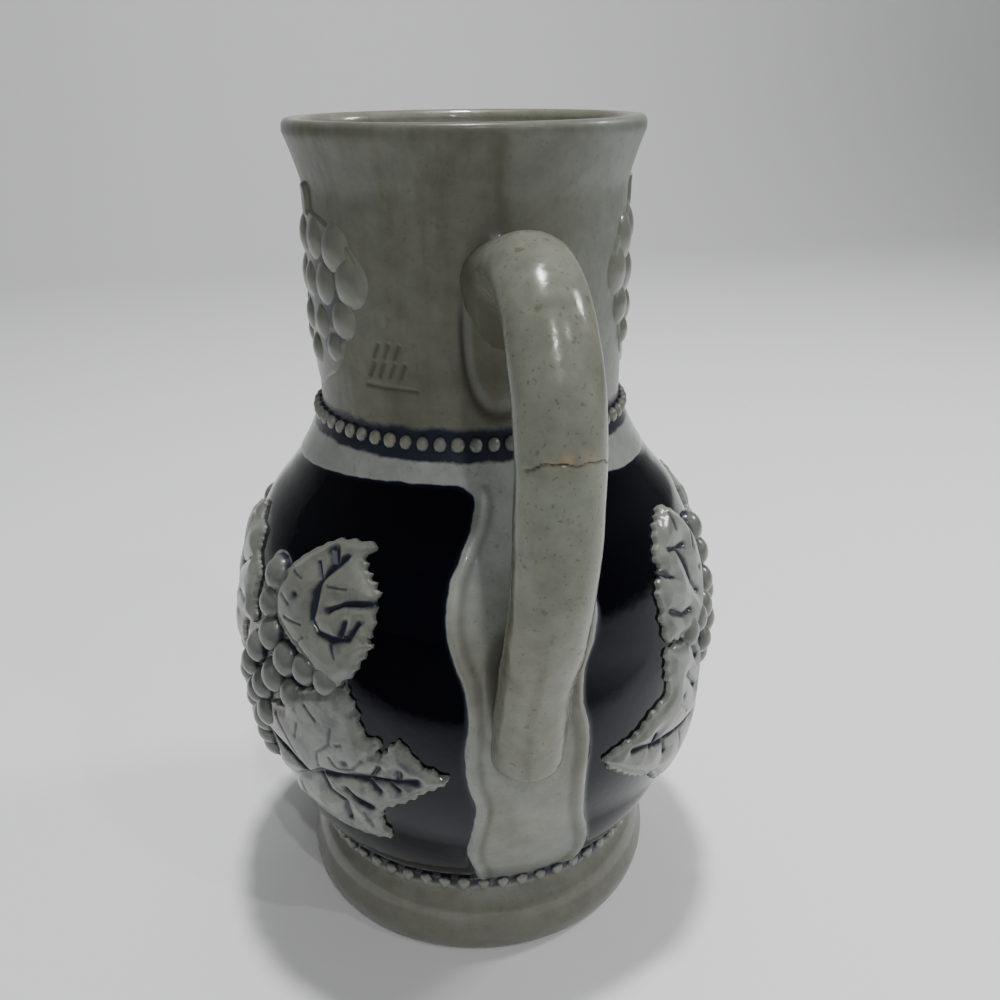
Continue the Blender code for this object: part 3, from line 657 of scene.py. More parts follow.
HANDLE_WIDTH = 13.4 * MM
HANDLE_THICKNESS = 11.2 * MM
HANDLE_REACH = 68.5 * MM
HANDLE_TOP_LEVEL = 145.2 * MM
HANDLE_REACH_LEVEL = 121.5 * MM
HANDLE_NECK_LEVEL = 140.0 * MM
HANDLE_FOOT_LEVEL = 58.5 * MM
HANDLE_FOOT_SINK = 0.5 * MM
HANDLE_ROOT_SINK = 2.4 * MM
HANDLE_SIDES = 60
HANDLE_STATIONS = 150
HANDLE_END_ROUND = HANDLE_WIDTH * 0.32
ROOT_FLARE = 0.06
ROOT_FLARE_LENGTH = 6.0 * MM
ROOT_SAG = 7.0 * MM
ROOT_SAG_LENGTH = 5.5 * MM
CRACK_LEVEL = 123.2 * MM
CRACK_DEPTH = 0.30 * MM
CRACK_WIDTH = 0.10 * MM
CRACK_OPENS = 0.11 * MM
CRACK_SAG = 1.9 * MM
CRACK_WAVE = 0.22 * MM
CRACK_JAG = 0.12 * MM
CRACK_CROWD = 2.6 * MM
CRACK_TURN_FROM = -1.15
CRACK_TURN_TO = 1.5
STAIN_REACH = 0.55
STAIN_WIDTH = 0.9 * MM
STAIN_DROP = 0.3 * MM
OUTER_PART = 6.0 * MM
CROWDING = 7.0
FINE_STEPS = 1500
DENT_SHARES = (0.008, 0.006)
# Painted shade: a dark band round the handle just past where it enters the neck
ROOT_SHADE = 0.5
ROOT_SHADE_OFF = 1.0 * MM
ROOT_SHADE_LENGTH = 1.5 * MM

neck = float(radius_at(HANDLE_NECK_LEVEL))
belly = float(radius_at(HANDLE_FOOT_LEVEL))
drop = HANDLE_REACH_LEVEL - HANDLE_FOOT_LEVEL
top_rise = HANDLE_TOP_LEVEL - HANDLE_REACH_LEVEL
span = HANDLE_REACH - neck
handle_keys = [(neck - HANDLE_ROOT_SINK, HANDLE_NECK_LEVEL),
               (neck + span * 0.22, between(HANDLE_NECK_LEVEL, HANDLE_TOP_LEVEL, 0.55)),
               (neck + span * 0.55, HANDLE_TOP_LEVEL),
               (neck + span * 0.80, HANDLE_REACH_LEVEL + top_rise * 0.80),
               (neck + span * 0.95, HANDLE_REACH_LEVEL + top_rise * 0.42),
               (HANDLE_REACH, HANDLE_REACH_LEVEL),
               (neck + span * 0.955, HANDLE_REACH_LEVEL - drop * 0.26),
               (neck + span * 0.83, HANDLE_REACH_LEVEL - drop * 0.50),
               (between(belly, HANDLE_REACH, 0.27), HANDLE_REACH_LEVEL - drop * 0.73),
               (belly - HANDLE_FOOT_SINK, HANDLE_FOOT_LEVEL)]


def line_through(keys, places):
    """Return points of a smooth line through keys (Catmull-Rom); a place counts spans."""
    keys = np.array(keys, float)
    keys = np.vstack([2 * keys[0] - keys[1], keys, 2 * keys[-1] - keys[-2]])
    places = np.asarray(places, float)
    i = np.clip(places.astype(int), 0, len(keys) - 4)
    t = (places - i)[:, None]
    a, b, c, d = keys[i], keys[i + 1], keys[i + 2], keys[i + 3]
    return 0.5 * (2 * b + (c - a) * t + (2 * a - 5 * b + 4 * c - d) * t ** 2
                  + (3 * b - a - 3 * c + d) * t ** 3)


def even_out(line, count, crowd_at=None, crowd_length=None):
    """Return count points spread over a line by length, closer together near one place."""
    lengths = np.concatenate([[0.0], np.cumsum(np.linalg.norm(np.diff(line, axis=0), axis=1))])
    weight = np.ones(len(line))
    if crowd_at is not None:
        weight += CROWDING * np.exp(-((lengths - crowd_at) / crowd_length) ** 4)
    total = np.concatenate([[0.0], np.cumsum(np.diff(lengths) * (weight[1:] + weight[:-1]) / 2)])
    wanted = np.interp(np.linspace(0.0, total[-1], count), total, lengths)
    return np.stack([np.interp(wanted, lengths, line[:, k]) for k in range(line.shape[1])], 1)


fine_line = line_through(handle_keys, np.linspace(0.0, len(handle_keys) - 1, FINE_STEPS))
lengths = np.concatenate([[0.0], np.cumsum(np.linalg.norm(np.diff(fine_line, axis=0), axis=1))])
outward = fine_line[:, 0] > HANDLE_REACH - OUTER_PART
crack_at = lengths[np.where(outward, np.abs(fine_line[:, 1] - CRACK_LEVEL), 1.0).argmin()]
handle_line = even_out(fine_line, HANDLE_STATIONS, crack_at + CRACK_SAG / 2, CRACK_CROWD)
scales = np.ones(len(handle_line))
tail = handle_line[-1] - handle_line[-2]
tail /= np.linalg.norm(tail)
for degrees in range(8, 90, 8):
    turn = math.radians(degrees)
    handle_line = np.vstack([handle_line, handle_line[HANDLE_STATIONS - 1]
                             + tail * HANDLE_END_ROUND * math.sin(turn)])
    scales = np.append(scales, math.cos(turn) ** 0.8)
run = np.concatenate([[0.0], np.cumsum(np.linalg.norm(np.diff(handle_line, axis=0), axis=1))])
scales *= 1.0 + ROOT_FLARE * np.exp(-((run - HANDLE_ROOT_SINK) / ROOT_FLARE_LENGTH) ** 2)
along = np.gradient(handle_line, run, axis=0)
along /= np.linalg.norm(along, axis=1)[:, None]
away = np.stack([-along[:, 1], along[:, 0]], 1)

around = np.arange(HANDLE_SIDES) * math.tau / HANDLE_SIDES
side_turn = (around + math.pi) % math.tau - math.pi
crack_run = crack_at + CRACK_SAG * (1 - np.cos(around)) + CRACK_WAVE * np.sin(5 * around + 1.0) \
    + CRACK_JAG * np.sin(13 * around)
from_crack = run[:, None] - crack_run[None, :]
crack_reach = smooth_step((side_turn - CRACK_TURN_FROM) / 0.2)[None, :]
crack_reach = crack_reach * smooth_step((CRACK_TURN_TO - side_turn) / 0.3)[None, :]
crack_width = CRACK_WIDTH + CRACK_OPENS * smooth_step((0.05 - side_turn) / 0.35)[None, :]
crack = np.exp(-(from_crack / crack_width) ** 2) * crack_reach
thickness = HANDLE_THICKNESS / 2 * scales[:, None] * np.cos(around)[None, :]
width = HANDLE_WIDTH / 2 * scales[:, None] * np.sin(around)[None, :]
shrink = 1.0 - CRACK_DEPTH / (HANDLE_THICKNESS / 2) * crack
dents = 1.0 + DENT_SHARES[0] * np.sin(run[:, None] * 260 + 2 * around[None, :]) \
    + DENT_SHARES[1] * np.sin(run[:, None] * 520 - 3 * around[None, :] + 1.0)
thickness = thickness * shrink * dents
width = width * shrink * dents
from_axis = handle_line[:, 0][:, None] + away[:, 0][:, None] * thickness
rings_level = handle_line[:, 1][:, None] + away[:, 1][:, None] * thickness
sag = ROOT_SAG * np.exp(-(np.maximum(from_axis - neck, 0.0) / ROOT_SAG_LENGTH) ** 2)
sag = sag * (np.maximum(0.0, -np.cos(around)) ** 1.5)[None, :] * (run < run[-1] / 3)[:, None]
rings = np.stack([width, -from_axis, rings_level - sag], -1)


def turn_outward(mesh):
    """Drop a mesh's loose points and turn its faces outward."""
    bm = bmesh.new()
    bm.from_mesh(mesh)
    bmesh.ops.delete(bm, geom=[vert for vert in bm.verts if not vert.link_faces], context="VERTS")
    bmesh.ops.recalc_face_normals(bm, faces=bm.faces)
    bm.to_mesh(mesh)
    bm.free()


def loft(name, rings):
    """Skin closed rings of equally many points and close both ends with a fan."""
    stations, sides = rings.shape[:2]
    middles = [rings[0].mean(axis=0), rings[-1].mean(axis=0)]
    places = np.vstack([rings.reshape(-1, 3), middles])
    faces = []
    for i in range(stations - 1):
        for j in range(sides):
            k = (j + 1) % sides
            faces.append((i * sides + j, i * sides + k, (i + 1) * sides + k, (i + 1) * sides + j))
    start, end = stations * sides, stations * sides + 1
    last = (stations - 1) * sides
    for j in range(sides):
        k = (j + 1) % sides
        faces.append((k, j, start))
        faces.append((last + j, last + k, end))
    mesh = bpy.data.meshes.new(name)
    mesh.from_pydata(places.tolist(), [], faces)
    turn_outward(mesh)
    return add_object(name, mesh)


handle = loft("handle", rings)
no_note = np.zeros(2)
stain = np.exp(-((from_crack + STAIN_DROP) / STAIN_WIDTH) ** 2)
stain = stain * np.exp(-(side_turn / STAIN_REACH) ** 2)[None, :]
note_on(handle.data, "crack", np.append(crack.ravel(), no_note))
note_on(handle.data, "stain", np.append(stain.ravel(), no_note))
# Painted shade round the handle's root
root_shade = ROOT_SHADE * np.exp(-((run - HANDLE_ROOT_SINK - ROOT_SHADE_OFF) / ROOT_SHADE_LENGTH) ** 2)
note_on(handle.data, "pooled", np.append(np.repeat(root_shade, HANDLE_SIDES), no_note))

HANDLE_GREY = (0.164, 0.176, 0.144, 1.0)
HANDLE_WARM = (0.138, 0.137, 0.107, 1.0)
CRACK_TAN = (0.330, 0.215, 0.115, 1.0)
CRACK_DARK = (0.040, 0.028, 0.018, 1.0)
# The handle's root takes the neck's olive, painted darker as shade
ROOT_SHADE_OLIVE = (0.084, 0.082, 0.060, 1.0)
ROOT_SHADE_FROM = -45.0 * MM
ROOT_SHADE_TO = -37.0 * MM
handle_glaze, w, shader, skin, spot = glazed("handle_glaze", specks=0.45, streaks=0.0,
                                             grey=HANDLE_GREY, olive=HANDLE_WARM,
                                             green=HANDLE_GREY)
patchy = w.ramp(w.noise(spot, 420.0, 3.0, 0.6), 0.38, 0.62)
tone = w.mix(w.times(w.times(w.note("stain"), patchy), 0.75), skin.outputs["Color"], CRACK_TAN)
broken = w.ramp(w.noise(spot, 900.0, 2.0, 0.5), 0.40, 0.55, 0.25, 0.85)
open_crack = w.times(w.ramp(w.note("crack"), 0.15, 0.7), broken)
tone = w.mix(open_crack, tone, CRACK_DARK)
# Painted shade: the handle darkens towards its root at the neck
shaded_root = w.ramp(w.split(spot)[1], ROOT_SHADE_FROM, ROOT_SHADE_TO)
w.link(w.mix(shaded_root, tone, ROOT_SHADE_OLIVE), shader.inputs["Base Color"])
grain = w.ramp(w.noise(spot, 480.0, 2.0, 0.5), 0.35, 0.65, 0.13, 0.26)
w.link(grain, shader.inputs["Roughness"])
shader.inputs["Coat Weight"].default_value = 0.0
w.tree.nodes["Bump"].inputs["Strength"].default_value = 0.18
finish_piece(handle, handle_glaze)

# Bead band and toothed band
# A ring of beads runs round the foot of the neck and a ring of small teeth over the foot. Both
# came out of the mould with the wall, and cobalt was brushed into the grooves between them.

BEAD_COUNT = 60
BEAD_WIDTH = 2.4 * MM
BEAD_HEIGHT = 2.8 * MM
BEAD_RISE = 1.3 * MM
TOOTH_COUNT = 56
TOOTH_WIDTH = 2.5 * MM
TOOTH_HEIGHT = 3.0 * MM
TOOTH_RISE = 1.3 * MM
TOOTH_TAPER = 0.5
KNOB_CUBE = 1.25
KNOB_UNEVENNESS = 0.07
KNOB_COBALT = 0.9
KNOB_COBALT_BELOW = 0.85 * MM
KNOB_COBALT_FADE = 0.6 * MM


def spread_out(w, points, thing, rotation, share, seed):
    """End a tree: set the thing on its points, uneven in size, make it real and give it glaze."""
    given = w.given
    uneven = w.add("FunctionNodeRandomValue",
                   {2: w.sum("SUBTRACT", 1.0, given["Unevenness"]),
                    3: w.plus(1.0, given["Unevenness"]), "Seed": seed},
                   data_type="FLOAT").outputs[1]
    share = w.times(share, uneven)
    size = w.join(w.times(given["Width"], share), w.times(given["Height"], share),
                  w.times(given["Rise"], 2.0))
    placed = w.add("GeometryNodeInstanceOnPoints", {"Points": points, "Instance": thing,
                                                    "Rotation": rotation, "Scale": size})
    real = w.add("GeometryNodeRealizeInstances", {"Geometry": placed.outputs[0]})
    coated = w.add("GeometryNodeSetMaterial", {"Geometry": real.outputs[0],
                                               "Material": given["Material"]})
    w.link(coated.outputs[0], w.out[0])


w = ring_of_knobs = new_geometry_tree(
    "ring_of_knobs", [("Count", "Int"), ("Ring Radius", "Float"), ("Level", "Float"),
                      ("Width", "Float"), ("Height", "Float"), ("Rise", "Float"),
                      ("Taper", "Float"), ("Unevenness", "Float"), ("Material", "Material")])
given = w.given
index = w.add("GeometryNodeInputIndex").outputs[0]
turn = w.times(w.sum("DIVIDE", w.plus(index, 0.5), given["Count"]), math.tau)
east = w.times(w.sum("SINE", turn), given["Ring Radius"])
north = w.times(w.sum("COSINE", turn), w.times(given["Ring Radius"], -1.0))
ring = w.add("GeometryNodeSetPosition",
             {"Geometry": w.add("GeometryNodePoints", {"Count": given["Count"]}).outputs[0],
              "Position": w.join(east, north, given["Level"])})
knob = w.add("GeometryNodeMeshCube", {"Size": (KNOB_CUBE,) * 3})
knob = w.add("GeometryNodeSubdivisionSurface", {"Mesh": knob.outputs["Mesh"], "Level": 2})
corner = w.split(w.add("GeometryNodeInputPosition").outputs[0])
spread = w.plus(1.0, w.times(corner[1], given["Taper"]))
knob = w.add("GeometryNodeSetPosition",
             {"Geometry": knob.outputs[0],
              "Position": w.join(w.times(corner[0], spread), corner[1], corner[2])})
spread_out(w, ring.outputs[0], knob.outputs[0], w.join(math.pi / 2, 0.0, turn), 1.0, 4)

BEAD_GREY = (0.150, 0.156, 0.138, 1.0)
bead_glaze = glazed("bead_glaze", specks=0.15, streaks=0.0, grey=BEAD_GREY)[0]
for name, count, knob_level, knob_width, knob_height, knob_rise, taper in (
        ("bead_band", BEAD_COUNT, BEAD_LEVEL, BEAD_WIDTH, BEAD_HEIGHT, BEAD_RISE, 0.0),
        ("tooth_band", TOOTH_COUNT, TOOTH_LEVEL, TOOTH_WIDTH, TOOTH_HEIGHT, TOOTH_RISE,
         TOOTH_TAPER)):
    band = shape_by(ring_of_knobs, points_mesh(name, [(0.0, 0.0, 0.0)]), name, count=count,
                    ring_radius=float(radius_at(knob_level)), level=knob_level, width=knob_width,
                    height=knob_height, rise=knob_rise, taper=taper, unevenness=KNOB_UNEVENNESS,
                    material=bead_glaze)
    knob_points = read_points(band.data)
    depth = np.hypot(knob_points[:, 0], knob_points[:, 1]) - radius_at(knob_points[:, 2])
    note_on(band.data, "cobalt",
            KNOB_COBALT * smooth_step((KNOB_COBALT_BELOW - depth) / KNOB_COBALT_FADE))
    finish_piece(band, bead_glaze)

# Grapes
# Each vine carries a hanging bunch of grapes, and a small bunch sits on each side of the neck.
# They were pressed with the wall, so each is a low round cushion with cobalt in its hollows.

BUNCH_ANGLE = math.radians(80)
BERRY_COBALT_REACH = (14.0 * MM, 12.0 * MM)
BERRY_COBALT = 0.95
GRAPE_COBALT = 0.75
GRAPE_UNEVENNESS = 0.06
HOLLOW_BELOW = 0.50
HOLLOW_DEPTH = 0.45
BERRY_WIDTH = 9.2 * MM
BERRY_HEIGHT = 10.6 * MM
BERRY_RISE = 2.9 * MM
BERRY_SINK = 1.5 * MM
BERRIES = [(19.5, 143.9, 1.0), (26.8, 138.6, 0.98), (6.8, 145.2, 1.0), (12.8, 137.6, 1.0),
           (22.0, 131.8, 0.86), (8.0, 130.4, 0.85), (16.0, 126.4, 0.72), (0.0, 137.6, 0.9),
           (0.0, 124.6, 0.75)]

w = set_grapes = new_geometry_tree(
    "set_grapes", [("Width", "Float"), ("Height", "Float"), ("Rise", "Float"),
                   ("Unevenness", "Float"), ("Material", "Material")])
facing = w.add("GeometryNodeInputNamedAttribute", {"Name": "facing"},
               data_type="FLOAT_VECTOR").outputs[0]
share = w.add("GeometryNodeInputNamedAttribute", {"Name": "share"}, data_type="FLOAT").outputs[0]
turned = w.add("FunctionNodeAxesToRotation", {0: facing, 1: (0.0, 0.0, 1.0)},
               primary_axis="Z", secondary_axis="Y").outputs[0]
grape = w.add("GeometryNodeMeshIcoSphere", {"Radius": 0.5, "Subdivisions": 4})
spread_out(w, w.given["Geometry"], grape.outputs["Mesh"], turned, share, 9)

RELIEF_GREY = (0.168, 0.178, 0.162, 1.0)
RELIEF_OLIVE = (0.138, 0.143, 0.122, 1.0)
RELIEF_GREEN = (0.172, 0.186, 0.172, 1.0)
GRAPE_GREY = (0.105, 0.111, 0.102, 1.0)
relief_glaze = glazed("relief_glaze", specks=0.12, streaks=0.0, grey=RELIEF_GREY,
                      olive=RELIEF_OLIVE, green=RELIEF_GREEN)[0]
grape_glaze = glazed("grape_glaze", specks=0.12, streaks=0.0, grey=GRAPE_GREY, olive=GRAPE_GREY,
                     green=RELIEF_OLIVE)[0]
berry_glaze = glazed("berry_glaze", specks=0.15, streaks=0.0, grey=NECK_GREEN, olive=NECK_GREY,
                     green=NECK_GREEN)[0]


def wall_lift(places):
    """Return how far points stand off the outer wall, roughly along its normal."""
    level = places[:, 2]
    slope = np.interp(level, wall_levels, wall_slopes)
    return (np.hypot(places[:, 0], places[:, 1]) - radius_at(level)) / np.sqrt(1 + slope * slope)


def grape_bunch(name, spots, width, height, rise, sink, edge_cobalt, glaze, inner=None):
    """Set one cushion at each spot (angle, arc, share of the full size), its middle sunk.

    The cobalt between the cushions may be kept to the bunch's inner part, of two half widths.
    """
    spots = np.array(spots)
    places = on_wall(spots[:, 0], spots[:, 1], -sink)
    normals = on_wall(spots[:, 0], spots[:, 1], 1.0) - on_wall(spots[:, 0], spots[:, 1])
    base = points_mesh(name, places)
    note_on(base, "share", spots[:, 2])
    base.attributes.new("facing", "FLOAT_VECTOR", "POINT")
    base.attributes["facing"].data.foreach_set("vector", normals.astype(np.float32).ravel())
    bunch = shape_by(set_grapes, base, name, width=width, height=height, rise=rise,
                     unevenness=GRAPE_UNEVENNESS, material=glaze)
    points = read_points(bunch.data)
    top = rise - sink
    lift = wall_lift(points)
    cobalt = edge_cobalt * smooth_step((HOLLOW_BELOW * top - lift) / (HOLLOW_DEPTH * top))
    if inner:
        middle = spots.mean(axis=0)
        turn = np.arctan2(points[:, 0], -points[:, 1]) - middle[0]
        off = np.hypot(turn * NECK_RADIUS / inner[0], (arc_of(points[:, 2]) - middle[1]) / inner[1])
        cobalt *= smooth_step((1.0 - off) / 0.35)
    note_on(bunch.data, "cobalt", cobalt)
    finish_piece(bunch, glaze)


for side, vine_angle in VINE_ANGLES.items():
    grape_bunch("grapes_" + side, [(vine_angle + turn, arc_place, 1.0)
                                   for turn, arc_place in grape_places],
                GRAPE_WIDTH, GRAPE_HEIGHT, GRAPE_RISE, GRAPE_SINK, GRAPE_COBALT, grape_glaze)
for side, sign in (("left", -1), ("right", 1)):
    spots = []
    for degrees, berry_level, share in BERRIES:
        for mirror in ((1, -1) if degrees else (1,)):
            spots.append((sign * (BUNCH_ANGLE - mirror * math.radians(degrees)),
                          float(arc_of(berry_level * MM)), share))
    grape_bunch("neck_berries_" + side, spots, BERRY_WIDTH, BERRY_HEIGHT, BERRY_RISE, BERRY_SINK,
                BERRY_COBALT, berry_glaze, BERRY_COBALT_REACH)

# Vine leaves
# The leaves stand about a millimetre and a half off the belly, with toothed edges, pressed
# veins and small round dimples. Cobalt was brushed over them and wiped off, so it stays in the
# veins. An outline's places are degrees from the vine's middle line and arcs in millimetres.

LEAF_RISE = 0.8 * MM
LEAF_DOME = 1.3 * MM
LEAF_EDGE = 0.55 * MM
LEAF_SINK = 0.5 * MM
TOOTH_PITCH = 2.7 * MM
TOOTH_CUT = 1.0 * MM
TOOTH_TURN_FROM = math.radians(36)
TOOTH_TURN_TO = math.radians(50)
TOOTH_FADE = 1.6 * MM
EDGE_OUT = 0.35 * MM
DOME_FADE = 2.4 * MM
CUT_OUT = 0.3 * MM
CUT_FADE = 0.6 * MM
VEIN_DEPTH = 0.4 * MM
VEIN_WIDTH = 0.46 * MM
CREASE_WIDTH = VEIN_WIDTH * 0.8
CREASE_SHARE = 0.55
DIMPLE_RADIUS = 0.8 * MM
PUFF_REACH = 2.2 * MM
HOLLOW_FADE = 2.2 * MM
NEAR_NET = 0.20 * MM
FAR_NET = 0.40 * MM
NET_MARGIN = 1.2 * MM
FAR_OFF = 9.0

UPPER_LEAF = {
    "wash": 0.18,
    "outline": [(39, 29.5), (44.5, 32), (53.5, 32.5), (55, 31.5), (53, 29.5), (54.5, 27.5), (57, 25),
                (58, 23.5), (57.5, 22), (57.5, 20), (57.2, 16), (56, 15.5), (57.5, 14.5), (54.5, 10.5),
                (53, 8), (50, 5.5), (48, 3), (46, 4), (39.5, 8), (34, 10.5), (29.5, 13), (27.5, 16.5),
                (28, 19.5), (30, 23), (34, 26.5)],
    "veins": [[(44.5, 29.5), (46, 27), (42.5, 23.5), (42, 20), (41.7, 16.2), (43.7, 14.4), (48, 13.9),
               (52, 15), (54, 18)],
              [(42.7, 23.5), (40.5, 26.5)], [(46, 27), (48.5, 29)], [(49.7, 14.5), (50.6, 17.7)],
              [(58, 22), (50.3, 20.8), (46.2, 19.1)]],
    "creases": [[(47.5, 12.9), (49, 10.8)], [(33.6, 14.9), (38.8, 14.7)], [(45, 23), (50, 23.4)],
                [(31.5, 18.5), (34.5, 17.6)], [(34, 23.5), (37, 22.8)], [(38, 10.8), (40, 12.6)]],
    "dimples": [(36.2, 19.7)],
    "hollows": [(31, 21.5, 2.0), (57, 28, 2.2)],
}
LOWER_LEAF = {
    "wash": 0.30,
    "vein_cobalt": 0.62,
    "outline": [(51.5, 6), (52, 4.5), (54, 1), (54.5, -2), (55.5, -4), (59, -4.3), (58.4, -7.3),
                (60.5, -5), (63, -3.5), (65.3, -6), (67.5, -8.5), (71, -10), (73.7, -11.5),
                (71, -13.5), (68, -15), (65.5, -17), (62, -19), (57.5, -21.5), (56.5, -26), (58, -30),
                (49, -31), (40, -30), (34, -28), (27, -27.5), (29, -23.5), (22.5, -21), (24.5, -17),
                (19.5, -13), (24.5, -10), (26, -6), (32, -4.5), (34.5, -0.5), (40.5, 2.5), (47, 4.5)],
    "veins": [[(31, -22), (42.5, -15.6), (49.6, -14.2), (56.3, -12.7), (62.5, -12.5), (66.5, -11.8)],
              [(56.3, -12.7), (58.1, -10)], [(62.5, -12.5), (62.7, -10.5)],
              [(56, -13.5), (57.6, -15.6)], [(60.7, -13.2), (62.3, -14.5)],
              [(42.5, -16), (44, -19.8), (48, -21.2), (47.7, -26.2)],
              [(49, -17.8), (50.6, -19.3), (55, -20.6)], [(31, -22), (26, -25)],
              [(38, -17.8), (31, -15.2), (24, -14.2)]],
    "creases": [[(42, -14.3), (43, -10.2), (47, -6.9), (48, -3.1)], [(36, -15.8), (32.5, -10), (29, -7)],
                [(46.3, -10.4), (47.7, -12.9), (52, -11.7), (54.7, -8.7)], [(49, -6.6), (50, -6.2)],
                [(36.5, -9), (38, -5.5)], [(33, -22.8), (37, -27)], [(53, -22.5), (54, -26)],
                [(41, -0.5), (44, -2.5)]],
    "dimples": [(50.3, -10.5)],
    "hollows": [(37, -2.5, 2.4), (27, -8, 2.0), (33, -25.5, 2.4), (24, -18, 2.0)],
}
RIGHT_UPPER_LEAF = {
    "wash": 0.16,
    "outline": [(43.5, 31.5), (48, 30), (51, 28.5), (52.5, 26), (55, 24), (54.5, 22), (56, 20),
                (57.5, 16.5), (56.5, 14), (57.5, 12.5), (57, 9.5), (56.5, 7), (50, 5.5), (44, 4),
                (37, 6), (32, 12), (31, 18), (32, 23), (37, 28)],
    "veins": [[(46.3, 22.8), (44.7, 19.9), (42.8, 15), (40, 12)],
              [(49.2, 23.5), (46.3, 22.8), (42, 22.4)], [(56, 20.8), (51, 18.4)],
              [(54.3, 12.8), (50, 10.5), (45.6, 10.1)]],
    "creases": [[(44, 26), (43, 29)], [(38, 20), (36, 23)]],
    "dimples": [(37.0, 16.0)],
    "hollows": [(53, 5.5, 1.8), (43, 4.8, 2.2)],
}
RIGHT_LOWER_LEAF = {
    "wash": 0.12,
    "outline": [(57.4, 5.5), (57.2, 0), (55.7, -4.3), (61.3, -6.4), (65.7, -9.2), (70.8, -10.7),
                (74.7, -12.2), (73.4, -15), (68.4, -18.5), (62.4, -22), (57, -24), (52, -28.5),
                (44, -29.5), (38, -27), (33, -20), (36, -12), (38, -4), (41, 2), (48, 4.5)],
    "veins": [[(67.3, -12.4), (60, -14), (52.4, -15.1), (40, -17)], [(61.4, -14.2), (59.7, -12)],
              [(56, -14.8), (54.5, -18.5)], [(48, -3), (41.6, -8.7)], [(47, 3.6), (44, -0.5)]],
    "creases": [[(48, -17), (46, -22)], [(52, -8), (47, -12)]],
    "dimples": [(50.0, -7.0)],
    "hollows": [(46, 3.5, 2.0), (39, 0.0, 2.0)],
}
MIDDLE_LEAF = {
    "outline": [(0, 29), (4, 26), (10, 25.5), (12, 21), (17, 18), (16, 13), (18, 8), (11, 6), (6, 0),
                (0, -6), (-6, 0), (-11, 6), (-18, 8), (-16, 13), (-17, 18), (-12, 21), (-10, 25.5),
                (-4, 26)],
    "veins": [[(0, -3), (0, 10), (0, 24)], [(0, 8), (11, 10)], [(0, 8), (-11, 10)],
              [(0, 14), (10, 19)], [(0, 14), (-10, 19)]],
    "creases": [[(5, 9), (8, 13)], [(-5, 9), (-8, 13)]],
    "dimples": [(7.0, 6.0), (-7.0, 6.0)],
}


def flat_spots(places):
    """Return (degrees, arc in millimetres) places as flat metres across and up the wall."""
    places = np.array(places, float).reshape(-1, 2)
    arcs = places[:, 1] * MM
    return np.stack([np.radians(places[:, 0]) * radius_at(level_of(arcs)), arcs], 1)


def inside_distance(x, y, corners):
    """Return each point's distance inside a closed outline, and how far round it is nearest."""
    nearest = np.full(x.shape, FAR_OFF)
    round_at = np.zeros(x.shape)
    crossed = np.zeros(x.shape, bool)
    passed = 0.0
    for (ax, ay), (bx, by) in zip(corners, np.roll(corners, -1, axis=0)):
        dx, dy = bx - ax, by - ay
        length = math.hypot(dx, dy)
        t = np.clip(((x - ax) * dx + (y - ay) * dy) / (length * length), 0.0, 1.0)
        distance = np.hypot(x - ax - t * dx, y - ay - t * dy)
        closer = distance < nearest
        nearest = np.where(closer, distance, nearest)
        round_at = np.where(closer, passed + t * length, round_at)
        spans = (ay > y) != (by > y)
        with np.errstate(divide="ignore", invalid="ignore"):
            crossed ^= spans & (x < ax + (y - ay) * dx / dy)
        passed += length
    return np.where(crossed, nearest, -nearest), round_at


def to_lines(x, y, lines):
    """Return the distance of points from the nearest of several broken lines."""
    nearest = np.full(x.shape, FAR_OFF)
    for line in lines:
        spots = flat_spots(line)
        for start, end in zip(spots, spots[1:]):
            nearest = np.minimum(nearest, to_line(x, y, start, end))
    return nearest


